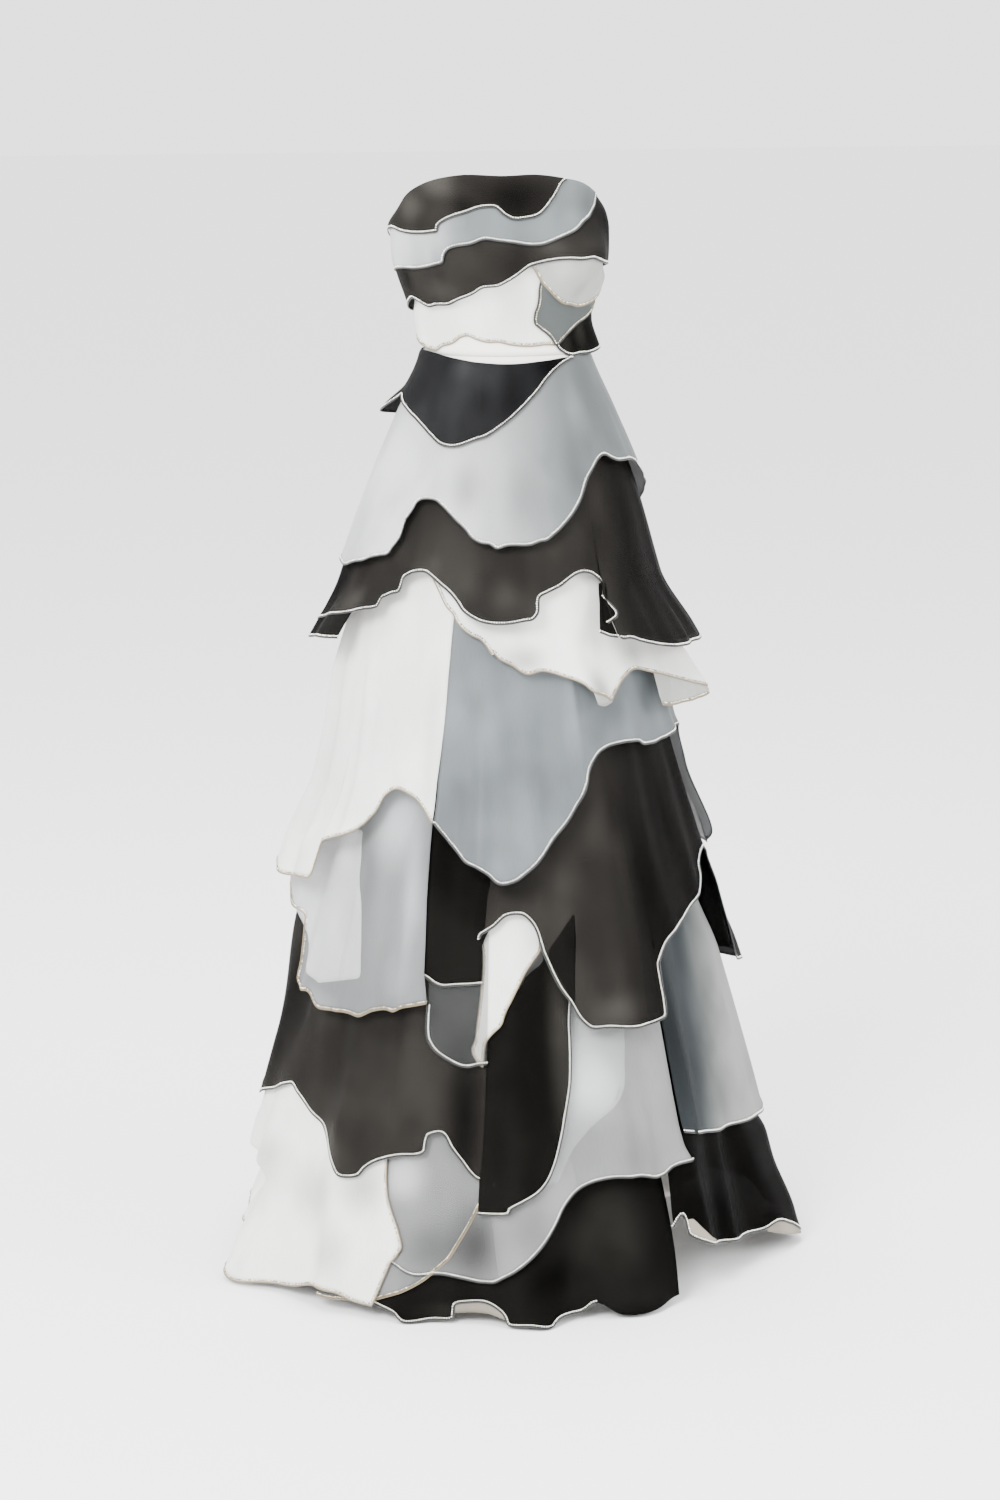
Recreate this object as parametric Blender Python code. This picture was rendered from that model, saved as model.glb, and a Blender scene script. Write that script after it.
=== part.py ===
"""Strapless tiered gown: a fitted bodice and a skirt of overlapping sheer layers with wavy lower edges.

Origin at the centre of the waist seam, +Z up, the front towards -Y. A place on the gown is given by its turn
(degrees from the front towards +X), its height, and how far it stands off the foundation.
"""

import math

import bpy
import numpy as np

NAME = "tiered_gown"
WALL = 0.0010
GAP = 0.0003
FRONT_HEM = -1.10

# Heights of the creases that all layers share
ROWS = (0.215, 0.180, 0.145, 0.110, 0.075, 0.038, 0.000, -0.090, -0.155, -0.235, -0.300, -0.370,
        -0.470, -0.590, -0.720, -0.860, -1.000, -1.110)

# Outline of the foundation: half breadth, front depth, back depth and sideways shift at each height
OUTLINE = {
    "height": (0.215, 0.155, 0.100, 0.050, 0.020, 0.000, -0.070, -0.140, -0.250, -0.350, -0.450, -0.600, -0.740,
               -0.900, -1.050, -1.120),
    "breadth": (0.126, 0.124, 0.117, 0.101, 0.099, 0.101, 0.124, 0.145, 0.166, 0.178, 0.184, 0.204, 0.223,
                0.244, 0.262, 0.270),
    "front": (0.094, 0.098, 0.095, 0.084, 0.081, 0.083, 0.103, 0.122, 0.143, 0.157, 0.167, 0.188, 0.208,
              0.230, 0.249, 0.256),
    "back": (0.084, 0.084, 0.081, 0.077, 0.076, 0.079, 0.104, 0.127, 0.150, 0.163, 0.173, 0.194, 0.214,
             0.236, 0.256, 0.264),
    "shift": (-0.012, -0.011, -0.006, -0.005, -0.002, 0.000, 0.000, 0.000, -0.003, -0.006, -0.003, 0.000, 0.000,
              0.000, 0.000, 0.000),
}

# Folds that run down the skirt: the turn of the crest, half width, depth at the hem, height where the fold begins
FOLDS = {
    "turn": (-144, -122, -102, -84, -58, -42, -13, 11, 29, 71, 96, 120, 144, 168, 192),
    "width": (16, 15, 14, 13, 10, 10, 13, 10, 11, 20, 15, 15, 15, 15, 14),
    "depth": (0.020, 0.020, 0.018, 0.045, 0.016, 0.018, 0.020, 0.017, 0.019, 0.026, 0.020, 0.020, 0.020, 0.020, 0.020),
    "start": (-0.15, -0.15, -0.15, -0.80, -0.15, -0.15, -0.15, -0.15, -0.15, -0.15, -0.15, -0.15, -0.15, -0.15, -0.15),
}

# Upper edge of the bodice
NECKLINE = {
    "turn": (-180, -140, -98, -85, -72, -60, -35, -11, 8, 22, 39, 52, 62, 74, 110, 145, 180),
    "height": (0.125, 0.128, 0.150, 0.166, 0.188, 0.200, 0.212, 0.211, 0.212, 0.208, 0.201, 0.190, 0.180,
               0.168, 0.143, 0.128, 0.125),
}

CUP = {"turn": 34, "height": 0.112, "half_turn": 34, "half_height": 0.062, "depth": 0.020}

IVORY = (0.88, 0.86, 0.81, 1)
BLACK = (0.03, 0.03, 0.032, 1)
GREY = (0.50, 0.55, 0.58, 1)

# Layers of the bodice from the outside in. "level" counts the layers below it, "top" is the height where the layer
# begins (None: at the neckline), "turn" and "height" follow its lower edge.
BODICE = {
    "bodice_black_top": {
        "colour": BLACK, "level": 6, "top": None,
        "turn": (-180, -140, -105, -92, -76, -62, -52, -48, -44, -36, -27, -18, -13, -9, -3, 4, 11, 18, 25),
        "height": (0.098, 0.110, 0.140, 0.144, 0.141, 0.142, 0.148, 0.158, 0.165, 0.171, 0.175, 0.177, 0.172, 0.164,
                   0.162, 0.165, 0.175, 0.190, 0.205)},
    "bodice_grey_upper": {
        "colour": GREY, "level": 5, "top": None,
        "turn": (-180, -140, -105, -85, -66, -50, -46, -41, -35, -22, -13, 1, 13, 27, 41, 49, 52),
        "height": (0.066, 0.080, 0.097, 0.099, 0.103, 0.110, 0.118, 0.126, 0.130, 0.137, 0.136, 0.131, 0.137,
                   0.147, 0.163, 0.178, 0.189)},
    "bodice_black_middle": {
        "colour": BLACK, "level": 4, "top": None, "closed": True,
        "turn": (-180, -140, -100, -84, -70, -56, -46, -38, -30, -18, -8, 2, 9, 20, 34, 50, 71, 110, 145),
        "height": (0.030, 0.046, 0.055, 0.065, 0.060, 0.060, 0.064, 0.072, 0.077, 0.085, 0.096, 0.108, 0.114,
                   0.115, 0.113, 0.108, 0.104, 0.085, 0.050)},
    "bodice_white_cup": {
        "colour": IVORY, "level": 3, "top": 0.128,
        "turn": (1, 4, 8, 13, 19, 26, 35, 46, 58, 71, 95, 120),
        "height": (0.106, 0.094, 0.084, 0.074, 0.065, 0.059, 0.055, 0.057, 0.064, 0.070, 0.072, 0.080)},
    "bodice_grey_side": {
        "colour": GREY, "level": 2, "top": 0.112,
        "turn": (3, 4, 7, 11, 15, 18, 25, 34, 46, 60, 80),
        "height": (0.072, 0.046, 0.032, 0.024, 0.018, 0.014, 0.021, 0.031, 0.042, 0.050, 0.054)},
    "bodice_white_front": {
        "colour": IVORY, "level": 1, "top": 0.108,
        "turn": (-180, -140, -100, -80, -68, -57, -48, -40, -32, -19, -4, 8, 16),
        "height": (0.012, 0.018, 0.014, 0.010, 0.008, 0.012, 0.019, 0.024, 0.020, 0.017, 0.013, 0.013, 0.015)},
    "bodice_black_side": {
        "colour": BLACK, "level": 1, "top": 0.100,
        "turn": (17, 23, 32, 44, 58, 71, 100, 140, 179),
        "height": (0.012, 0.007, 0.004, 0.006, 0.010, 0.012, 0.010, 0.012, 0.014)},
}

# Layers of the skirt. "seam" is the height where the layer is sewn on, "slope" how fast it stands away below that,
# "flare" the extra distance that it gains over "flare_length" below "flare_from".
SKIRT = {
    "yoke_black": {
        "colour": BLACK, "seam": 0.0, "slope": 0.13, "base": 0.0019,
        "turn": (-178, -150, -120, -98, -85, -70, -60, -51, -44, -35, -26, -17, -7, 6, 20, 34),
        "height": (-0.090, -0.078, -0.066, -0.050, -0.059, -0.074, -0.086, -0.096, -0.100, -0.097, -0.088, -0.075,
                   -0.055, -0.030, -0.014, -0.006)},
    "yoke_grey": {
        "colour": GREY, "seam": 0.0, "slope": 0.12, "closed": True,
        "turn": (-180, -140, -105, -84, -70, -63, -60, -55, -49, -42, -35, -28, -20, -10, -1, 7, 15, 20, 28, 34, 42,
                 52, 64, 80, 110, 145),
        "height": (-0.190, -0.215, -0.245, -0.244, -0.232, -0.214, -0.190, -0.167, -0.161, -0.171, -0.189, -0.207,
                   -0.215, -0.213, -0.207, -0.189, -0.167, -0.146, -0.121, -0.115, -0.124, -0.127, -0.142, -0.160,
                   -0.205, -0.200)},
    "hip_black": {
        "colour": BLACK, "seam": -0.090, "slope": 0.12, "closed": True,
        "flare": 0.028, "flare_from": -0.262, "flare_length": 0.09,
        "turn": (-180, -145, -118, -100, -86, -72, -65, -60, -56, -52, -47, -41, -34, -28, -19, -11, -7, -4, 3, 10,
                 15, 17.5, 18.5, 19.5, 24, 34, 48, 66, 90, 120, 150),
        "height": (-0.300, -0.325, -0.335, -0.318, -0.306, -0.296, -0.286, -0.272, -0.256, -0.247, -0.248, -0.259,
                   -0.275, -0.292, -0.300, -0.297, -0.288, -0.272, -0.257, -0.248, -0.252, -0.266, -0.290, -0.316,
                   -0.327, -0.335, -0.345, -0.352, -0.340, -0.318, -0.330)},
    "hip_white": {
        "colour": IVORY, "seam": -0.205, "slope": 0.16,
        "flare": 0.014, "flare_from": -0.350, "flare_length": 0.06,
        "turn": (-49, -45, -39, -33, -25, -19, -12, -6, 0, 6, 11, 15, 18, 23, 31, 42, 56, 71, 100, 135, 178),
        "height": (-0.240, -0.262, -0.289, -0.308, -0.325, -0.344, -0.357, -0.357, -0.363, -0.374, -0.386, -0.394,
                   -0.386, -0.372, -0.364, -0.375, -0.392, -0.402, -0.392, -0.380, -0.390)},
    "thigh_white": {
        "colour": IVORY, "seam": -0.235, "slope": 0.12,
        "flare": 0.014, "flare_from": -0.500, "flare_length": 0.10,
        "turn": (-179.8, -150, -120, -98, -86, -79, -76, -72, -65, -60, -56, -52, -47, -43, -38.2),
        "height": (-0.570, -0.590, -0.612, -0.620, -0.618, -0.609, -0.580, -0.563, -0.550, -0.531, -0.508, -0.499,
                   -0.506, -0.520, -0.538)},
    "thigh_grey": {
        "colour": GREY, "seam": -0.235, "slope": 0.12,
        "flare": 0.014, "flare_from": -0.500, "flare_length": 0.10,
        "turn": (-37.8, -34, -29, -24, -20, -16, -11, -6, -1, 4, 7, 9, 12, 18, 26, 34, 44, 58, 72, 90, 115, 145,
                 179.8),
        "height": (-0.540, -0.556, -0.573, -0.584, -0.597, -0.593, -0.573, -0.553, -0.536, -0.514, -0.493, -0.472,
                   -0.460, -0.453, -0.453, -0.454, -0.455, -0.460, -0.500, -0.590, -0.620, -0.600, -0.570)},
    "knee_white": {
        "colour": IVORY, "seam": -0.400, "slope": 0.12,
        "turn": (-179.8, -150, -122, -106, -99, -93, -86, -80, -76, -70, -64, -58, -52, -46, -42, -37),
        "height": (-0.720, -0.700, -0.672, -0.648, -0.668, -0.690, -0.738, -0.752, -0.757, -0.767, -0.765, -0.763,
                   -0.757, -0.754, -0.744, -0.739)},
    "knee_black": {
        "colour": BLACK, "seam": -0.400, "slope": 0.12,
        "turn": (-26, -24, -21, -17, -14, -11, -9.5, -7.5, -5, -2, 1, 5, 11, 17, 22, 23.2, 24.4, 26, 29, 35, 44, 53,
                 62, 74, 92, 118, 148, 179.8),
        "height": (-0.678, -0.664, -0.648, -0.637, -0.638, -0.650, -0.677, -0.702, -0.724, -0.744, -0.761, -0.771,
                   -0.771, -0.774, -0.770, -0.752, -0.722, -0.699, -0.684, -0.673, -0.665, -0.650, -0.630, -0.640,
                   -0.715, -0.760, -0.745, -0.720)},
    "knee_black_inner": {
        "colour": BLACK, "seam": -0.425, "slope": 0.12,
        "turn": (-42, -38, -34, -29, -25, -20),
        "height": (-0.705, -0.716, -0.723, -0.723, -0.719, -0.710)},
    "knee_grey": {
        "colour": BLACK, "seam": -0.450, "slope": 0.12,
        "turn": (-40, -38.5, -37, -35, -32, -29, -26, -23),
        "height": (-0.742, -0.764, -0.779, -0.792, -0.804, -0.811, -0.811, -0.804)},
    "calf_black": {
        "colour": BLACK, "seam": -0.525, "slope": 0.12,
        "turn": (-179.8, -150, -120, -100, -91, -82, -76, -70, -64, -60, -56, -52, -49, -45, -40, -36, -33, -29,
                 -25, -21),
        "height": (-0.880, -0.905, -0.910, -0.898, -0.886, -0.866, -0.863, -0.880, -0.898, -0.917, -0.942, -0.948,
                   -0.938, -0.919, -0.912, -0.901, -0.893, -0.914, -0.938, -0.946)},
    "calf_white": {
        "colour": IVORY, "seam": -0.555, "slope": 0.12,
        "turn": (-179.8, -145, -115, -98, -84, -74, -62, -52, -46, -44, -42, -40, -39),
        "height": (-1.050, -1.072, -1.080, -1.078, -1.096, -1.094, -1.082, -1.079, -1.082, -1.072, -1.045, -1.012,
                   -0.985)},
    "calf_pale": {
        "colour": IVORY, "seam": -0.585, "slope": 0.12,
        "turn": (-43, -39, -34, -28, -23, -19, -15, -11, -8, -4, 0, 4, 8, 13, 18, 22, 26),
        "height": (-1.034, -1.042, -1.049, -1.049, -1.053, -1.047, -1.030, -1.006, -0.985, -0.962, -0.949, -0.946,
                   -0.948, -0.949, -0.946, -0.941, -0.938)},
    "calf_grey": {
        "colour": GREY, "seam": -0.610, "slope": 0.12,
        "turn": (23, 30, 38, 47, 56, 64, 76, 95, 120, 150, 179.5),
        "height": (-0.908, -0.912, -0.922, -0.926, -0.935, -0.936, -0.925, -0.935, -0.955, -0.930, -0.900)},
    "calf_side": {
        "colour": BLACK, "seam": -0.640, "slope": 0.12,
        "turn": (22.4, 25, 29, 38, 48, 57, 66, 82, 105, 135, 179.5),
        "height": (-1.022, -1.034, -1.041, -1.049, -1.050, -1.066, -1.082, -1.086, -1.070, -1.084, -1.070)},
    "hem_black": {
        "colour": BLACK, "seam": -0.780, "slope": 0.10,
        "flare": 0.027, "flare_from": -0.900, "flare_length": 0.20,
        "turn": (-179.5, -150, -120, -95, -75, -58, -44, -39, -34, -30, -27, -23, -20, -17, -11, -6, 0, 5, 11, 17, 22),
        "height": (-1.080, -1.094, -1.086, -1.097, -1.098, -1.086, -1.086, -1.096, -1.101, -1.098, -1.078, -1.076,
                   -1.088, -1.100, -1.101, -1.095, -1.082, -1.096, -1.094, -1.088, -1.080)},
}

# Two tongues at the centre front: the turns of their sides from the seam down to the tip
TONGUES = {
    "tongue_white": {
        "colour": IVORY, "seam": -0.475,
        "height": (-0.475, -0.560, -0.640, -0.680, -0.720, -0.750, -0.775, -0.795, -0.812),
        "left": (-26, -26, -26, -26, -26, -26, -27, -27.5, -26),
        "right": (-6, -6, -7, -9.5, -15, -18.5, -22, -24, -24)},
    "tongue_black": {
        "colour": BLACK, "seam": -0.500,
        "height": (-0.500, -0.600, -0.650, -0.700, -0.760, -0.820, -0.875, -0.915, -0.945, -0.965, -0.978),
        "left": (-24, -24, -24, -24, -24, -24, -24, -24, -24, -24, -24),
        "right": (4, 4, 3, 1, -1.5, -2.5, -4, -7, -12, -17, -22)},
}


def hermite(place, marks, values):
    """Smooth value at a place between the marks, which rise."""
    marks = np.asarray(marks, float)
    values = np.asarray(values, float)
    place = np.clip(place, marks[0], marks[-1])
    slopes = np.gradient(values, marks)
    at = np.clip(np.searchsorted(marks, place) - 1, 0, len(marks) - 2)
    span = marks[at + 1] - marks[at]
    t = (place - marks[at]) / span
    start = values[at] * (2 * t**3 - 3 * t**2 + 1) + slopes[at] * span * (t**3 - 2 * t**2 + t)
    return start + values[at + 1] * (3 * t**2 - 2 * t**3) + slopes[at + 1] * span * (t**3 - t**2)


def swell(x):
    """One at the middle, zero from -1 and 1 outwards."""
    return 0.5 + 0.5 * np.cos(math.pi * np.clip(np.abs(x), 0, 1))


def turn_between(turn, middle):
    return (turn - middle + 180) % 360 - 180


def relief(turn, height):
    """What the folds of the skirt and the two cups add to the foundation."""
    out = np.zeros(np.broadcast(turn, height).shape)
    for crest, width, depth, start in zip(FOLDS["turn"], FOLDS["width"], FOLDS["depth"], FOLDS["start"]):
        grown = np.clip((start - height) / (start - FRONT_HEM), 0, None) ** 1.2
        out += depth * swell(turn_between(turn, crest) / width) * grown
    for side in (-1, 1):
        across = turn_between(turn, side * CUP["turn"]) / CUP["half_turn"]
        along = (height - CUP["height"]) / CUP["half_height"]
        out += CUP["depth"] * swell(np.hypot(across, along))
    return out


def places(turn, height, lift):
    """Points in space for turns, heights and distances off the foundation."""
    up = -np.asarray(OUTLINE["height"], float)
    half, front, back, shift = (hermite(-height, up, OUTLINE[k]) for k in ("breadth", "front", "back", "shift"))
    angle = np.radians(turn)
    depth = np.where(np.cos(angle) > 0, front, back)
    across = np.sin(angle) / half
    along = -np.cos(angle) / depth
    length = np.hypot(across, along)
    out = lift + relief(turn, height)
    x = shift + half * np.sin(angle) + out * across / length
    y = -depth * np.cos(angle) + out * along / length
    return np.stack([x, y, height], -1)


def lattice_turns():
    """Turns of the creases that all layers share: crest, flanks and foot of each fold."""
    marks = []
    for crest, width in zip(FOLDS["turn"], FOLDS["width"]):
        shares = (-1, -0.5, 0, 0.5, 1) if -110 < crest < 90 else (-1, 0, 1)
        marks += [crest + share * width for share in shares]
    marks = sorted((mark + 180) % 360 - 180 for mark in marks)
    kept = [marks[0]]
    for mark in marks[1:]:
        if mark - kept[-1] > 4.4:
            kept.append(mark)
    return np.array(kept)


TURNS = lattice_turns()
CREASES = np.concatenate([TURNS[-2:] - 360, TURNS, TURNS[:2] + 360])
LEVELS = np.array(ROWS)[::-1]


def facet(turn, height, values):
    """Value on the shared facets: straight between the creases and between the rows."""
    turn = (np.asarray(turn, float) + 180) % 360 - 180
    i = np.clip(np.searchsorted(CREASES, turn, side="right") - 1, 0, len(CREASES) - 2)
    k = np.clip(np.searchsorted(LEVELS, height, side="right") - 1, 0, len(LEVELS) - 2)
    u = ((turn - CREASES[i]) / (CREASES[i + 1] - CREASES[i]))[..., None]
    v = ((height - LEVELS[k]) / (LEVELS[k + 1] - LEVELS[k]))[..., None]
    low, low_next, high, high_next = values[i, k], values[i + 1, k], values[i, k + 1], values[i + 1, k + 1]
    under = low + u * (low_next - low) + v * (high - low)
    over = high_next + (1 - u) * (high - high_next) + (1 - v) * (low_next - high_next)
    return np.where(u + v <= 1, under, over)


def lattice():
    """Foundation points and outward directions at the crossings of creases and rows."""
    turn, height = np.meshgrid(CREASES, LEVELS, indexing="ij")
    base = places(turn, height, 0.0)
    return base, places(turn, height, 1.0) - base


BASE, OUTWARD = lattice()


def spot(turn, height, lift):
    """Point on the shared facets, moved out by the lift of its layer."""
    off = np.interp(height, LEVELS, lift(LEVELS))[..., None]
    return facet(turn, height, BASE) + off * facet(turn, height, OUTWARD)


def edge_columns(piece, closed):
    """Turns and heights of a lower edge at the shared creases and at its own marks."""
    turn = np.array(piece["turn"], float)
    height = np.array(piece["height"], float)
    if closed:
        turn = np.concatenate([turn[-2:] - 360, turn, turn[:3] + 360])
        height = np.concatenate([height[-2:], height, height[:3]])
    run = np.concatenate([[0.0], np.cumsum(np.hypot(np.radians(np.diff(turn)) * 0.2, np.diff(height)))])
    fine = np.linspace(0, run[-1], 1200)
    fine_turn = np.maximum.accumulate(hermite(fine, run, turn))
    fine_height = hermite(fine, run, height)
    first, last = (-180.0, 180.0) if closed else (turn[0], turn[-1])
    marks = np.array([mark for mark in turn if np.abs(TURNS - mark).min() > 1.5])
    columns = np.unique(np.concatenate([TURNS, marks, [first, last]]))
    columns = columns[(columns >= first) & (columns <= last)]
    if closed:
        columns = columns[:-1]
    else:
        inner = columns[(columns > first + 0.3) & (columns < last - 0.3)]
        columns = np.concatenate([[first], inner, [last]])
    return columns, np.interp(columns, fine_turn, fine_height)


def body(name, colour, turn, height, lift, closed):
    """Closed solid of a layer; turn and height are given for each [column, row]."""
    columns, rows = turn.shape
    outer = spot(turn, height, lambda level: lift(level) + WALL)
    inner = spot(turn, height, lift)
    number = np.zeros((columns, rows), int)
    points = []
    for i in range(columns):
        for k in range(rows):
            same = k and abs(height[i, k] - height[i, k - 1]) < 1e-6 and abs(turn[i, k] - turn[i, k - 1]) < 1e-6
            if not same:
                points.append((outer[i, k], inner[i, k]))
            number[i, k] = len(points) - 1
    half = len(points)
    faces = []

    def face(*corners):
        for triple in (corners[:3], (corners[0],) + corners[2:]):
            if len(set(triple)) == 3:
                faces.append(triple)

    def wall(a, b):
        if a != b:
            face(a, b, half + b, half + a)

    for i in range(columns if closed else columns - 1):
        j = (i + 1) % columns
        for k in range(rows - 1):
            a, b, c, d = number[i, k], number[i, k + 1], number[j, k + 1], number[j, k]
            face(a, b, c, d)
            face(half + a, half + d, half + c, half + b)
        wall(number[j, rows - 1], number[i, rows - 1])
        wall(number[i, 0], number[j, 0])
    if not closed:
        for k in range(rows - 1):
            wall(number[0, k + 1], number[0, k])
            wall(number[-1, k], number[-1, k + 1])
    mesh = bpy.data.meshes.new(name)
    corners = [pair[0].tolist() for pair in points] + [pair[1].tolist() for pair in points]
    mesh.from_pydata(corners, [], [tuple(int(v) for v in triple) for triple in faces])
    mesh.validate()
    item = bpy.data.objects.new(name, mesh)
    bpy.data.collections[NAME].objects.link(item)
    paint = bpy.data.materials.new(name)
    paint.use_nodes = True
    surface = paint.node_tree.nodes["Principled BSDF"]
    surface.inputs["Base Color"].default_value = colour
    surface.inputs["Roughness"].default_value = 0.55
    surface.inputs["Metallic"].default_value = 0.0
    paint.diffuse_color = colour
    mesh.materials.append(paint)
    return item


def add_layer(name, piece, turn, top, low, lift, closed=False):
    """Layer whose columns run straight down from its top to its lower edge."""
    levels = [level for level in ROWS if low.min() < level < top.max()]
    levels = np.array([top.max()] + levels + [low.min()])[None, :]
    height = np.minimum(np.maximum(levels, low[:, None]), top[:, None])
    turn = np.broadcast_to(turn[:, None], height.shape)
    return body(name, piece["colour"], turn, height, lift, closed)


def skirt_lift(piece):
    seam = piece["seam"]
    flare = piece.get("flare", 0.0)
    start = piece.get("flare_from", 0.0)
    length = piece.get("flare_length", 1.0)

    def lift(height):
        t = np.clip((start - height) / length, 0, 1)
        return piece.get("base", GAP) + piece.get("slope", 0.12) * (seam - height) + flare * t * t * (3 - 2 * t)

    return lift


def bodice_lift(level):
    def lift(height):
        t = np.clip((height - 0.145) / 0.035, 0, 1)
        drop = 3 * t * t * (3 - 2 * t) if level > 3 else 0 * height
        return GAP + (level - 1 - drop) * (WALL + 4 * GAP)

    return lift


def corset(height):
    """The foundation of the bodice lies just inside its layers."""
    return 0 * height - WALL - 2 * GAP


def slip(height):
    """So does the foundation of the skirt."""
    return 0 * height - WALL - 2 * GAP


def add_foundation():
    neck = np.interp(TURNS, NECKLINE["turn"], NECKLINE["height"])
    zero = 0 * TURNS
    add_layer("bodice_base", {"colour": IVORY}, TURNS, neck, zero + GAP, corset, True)
    add_layer("underskirt", {"colour": IVORY}, TURNS, zero, zero - 1.0, slip, True)


def add_bodice():
    for name, piece in BODICE.items():
        closed = piece.get("closed", False)
        turn, low = edge_columns(piece, closed)
        neck = np.interp(turn, NECKLINE["turn"], NECKLINE["height"])
        top = neck if piece["top"] is None else np.minimum(neck, piece["top"])
        low = np.minimum(low, top - 0.002)
        add_layer(name, piece, turn, top, low, bodice_lift(piece["level"]), closed)


def add_skirt():
    for name, piece in SKIRT.items():
        closed = piece.get("closed", False)
        turn, low = edge_columns(piece, closed)
        add_layer(name, piece, turn, 0 * turn + piece["seam"], low, skirt_lift(piece), closed)


def add_tongues():
    for name, piece in TONGUES.items():
        down = -np.asarray(piece["height"], float)
        levels = [level for level in ROWS if down[0] < -level < down[-1]]
        fine = np.linspace(down[0], down[-1], 400)
        side = hermite(fine, down, piece["right"])
        crossings = [fine[np.abs(side - mark).argmin()] for mark in TURNS if side.min() < mark < side.max()]
        at = np.unique(np.concatenate([down, -np.array(levels), crossings]))
        left = hermite(at, down, piece["left"])
        right = hermite(at, down, piece["right"])
        between = TURNS[(TURNS > left.min()) & (TURNS < right.max())]
        across = np.concatenate([[right.max()], between[::-1], [left.min()]])[None, :]
        turn = np.minimum(np.maximum(across, left[:, None]), right[:, None])
        height = np.broadcast_to(-at[:, None], turn.shape)
        body(name, piece["colour"], turn, height, skirt_lift(piece), False)


def build():
    for item in list(bpy.data.objects):
        bpy.data.objects.remove(item, do_unlink=True)
    group = bpy.data.collections.new(NAME)
    bpy.context.scene.collection.children.link(group)
    add_foundation()
    add_bodice()
    add_skirt()
    add_tongues()


build()
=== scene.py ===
import math

import bpy
import numpy as np
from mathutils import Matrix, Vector


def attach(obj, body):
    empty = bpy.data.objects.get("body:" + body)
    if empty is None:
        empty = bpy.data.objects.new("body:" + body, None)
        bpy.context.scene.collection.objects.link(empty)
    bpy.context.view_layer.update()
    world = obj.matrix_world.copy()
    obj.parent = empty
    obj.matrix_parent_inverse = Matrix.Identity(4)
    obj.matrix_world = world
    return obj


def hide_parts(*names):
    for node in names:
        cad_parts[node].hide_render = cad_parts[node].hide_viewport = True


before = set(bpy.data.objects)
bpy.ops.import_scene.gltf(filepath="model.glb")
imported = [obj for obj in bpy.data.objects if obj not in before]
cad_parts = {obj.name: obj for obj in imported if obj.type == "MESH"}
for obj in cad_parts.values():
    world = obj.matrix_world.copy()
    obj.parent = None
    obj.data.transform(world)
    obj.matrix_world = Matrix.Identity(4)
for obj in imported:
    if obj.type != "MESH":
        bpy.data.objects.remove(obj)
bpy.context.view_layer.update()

# Strapless tiered gown. A place on it is a turn (degrees from the front towards +X), a height, and how far it
# stands off the foundation. Every layer is worked out on one shared surface, so layers never cut each other.

cameraView = {"place": (-1.465, -4.255, 0.38), "aim": (-0.00756, 0.0026, -0.487), "lens": 90.0,
              "sensor": 36.0}


def lookAt(thing, place, aim):
    thing.location = place
    thing.rotation_euler = (Vector(aim) - Vector(place)).to_track_quat("-Z", "Y").to_euler()
    bpy.context.scene.collection.objects.link(thing)


def setCamera():
    lens = bpy.data.cameras.new("studioCamera")
    lens.lens = cameraView["lens"]
    lens.sensor_width = cameraView["sensor"]
    eye = bpy.data.objects.new("studioCamera", lens)
    lookAt(eye, cameraView["place"], cameraView["aim"])
    bpy.context.scene.camera = eye


setCamera()
print("camera set")

# the worn shape under all the layers: half widths, depths and sideways shift at each height, the top edge
# and the cups
foundation = {
    "height": (0.215, 0.155, 0.1, 0.05, 0.02, 0.0, -0.07, -0.14, -0.25, -0.35, -0.45, -0.6, -0.74, -0.9,
               -1.05, -1.12),
    "breadth": (0.126, 0.124, 0.117, 0.101, 0.099, 0.101, 0.124, 0.145, 0.166, 0.178, 0.184, 0.204, 0.223,
                0.244, 0.262, 0.270),
    "front": (0.094, 0.098, 0.095, 0.084, 0.081, 0.083, 0.103, 0.122, 0.143, 0.157, 0.167, 0.188, 0.208,
              0.230, 0.249, 0.256),
    "back": (0.084, 0.084, 0.081, 0.077, 0.076, 0.079, 0.104, 0.127, 0.150, 0.163, 0.173, 0.194, 0.214,
             0.236, 0.256, 0.264),
    "shift": (-0.012, -0.011, -0.006, -0.005, -0.002, 0, 0, 0, -0.003, -0.006, -0.003, 0, 0, 0, 0, 0),
    "neckTurn": (-180, -140, -98, -85, -72, -60, -35, -11, 8, 22, 39, 52, 62, 74, 110, 145, 180),
    "neckHeight": (0.125, 0.128, 0.150, 0.166, 0.188, 0.200, 0.212, 0.211, 0.212, 0.208, 0.201, 0.190, 0.180,
                   0.168, 0.143, 0.128, 0.125),
    "cupTurn": 34, "cupHeight": 0.112, "cupHalfTurn": 34, "cupHalfHeight": 0.062, "cupDepth": 0.020,
}

# big folds down the skirt: turn of the crest, half width, depth at the hem, height where each begins
folds = {
    "turn": (-144, -122, -102, -84, -58, -42, -13, 11, 29, 71, 96, 120, 144, 168, 192),
    "width": (16, 15, 14, 13, 10, 10, 13, 10, 11, 20, 15, 15, 15, 15, 14),
    "depth": (0.020, 0.020, 0.018, 0.045, 0.016, 0.018, 0.020, 0.017, 0.019, 0.026) + 5 * (0.020,),
    "start": (-0.15, -0.15, -0.15, -0.80) + 11 * (-0.15,),
    "hem": -1.10, "growth": 1.2,
}

# small soft folds between the big ones: waves around, lean, start of each wave, depth at the hem
softFolds = {"waves": (19, 27, 37, 53), "lean": (6.3, -10.2, 13.8, -6.6), "start": (0.4, 1.9, 3.1, 5.2),
             "depth": (0.0022, 0.0015, 0.0006, 0.0002), "top": -0.06, "length": 0.9, "most": 1.2}

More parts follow.
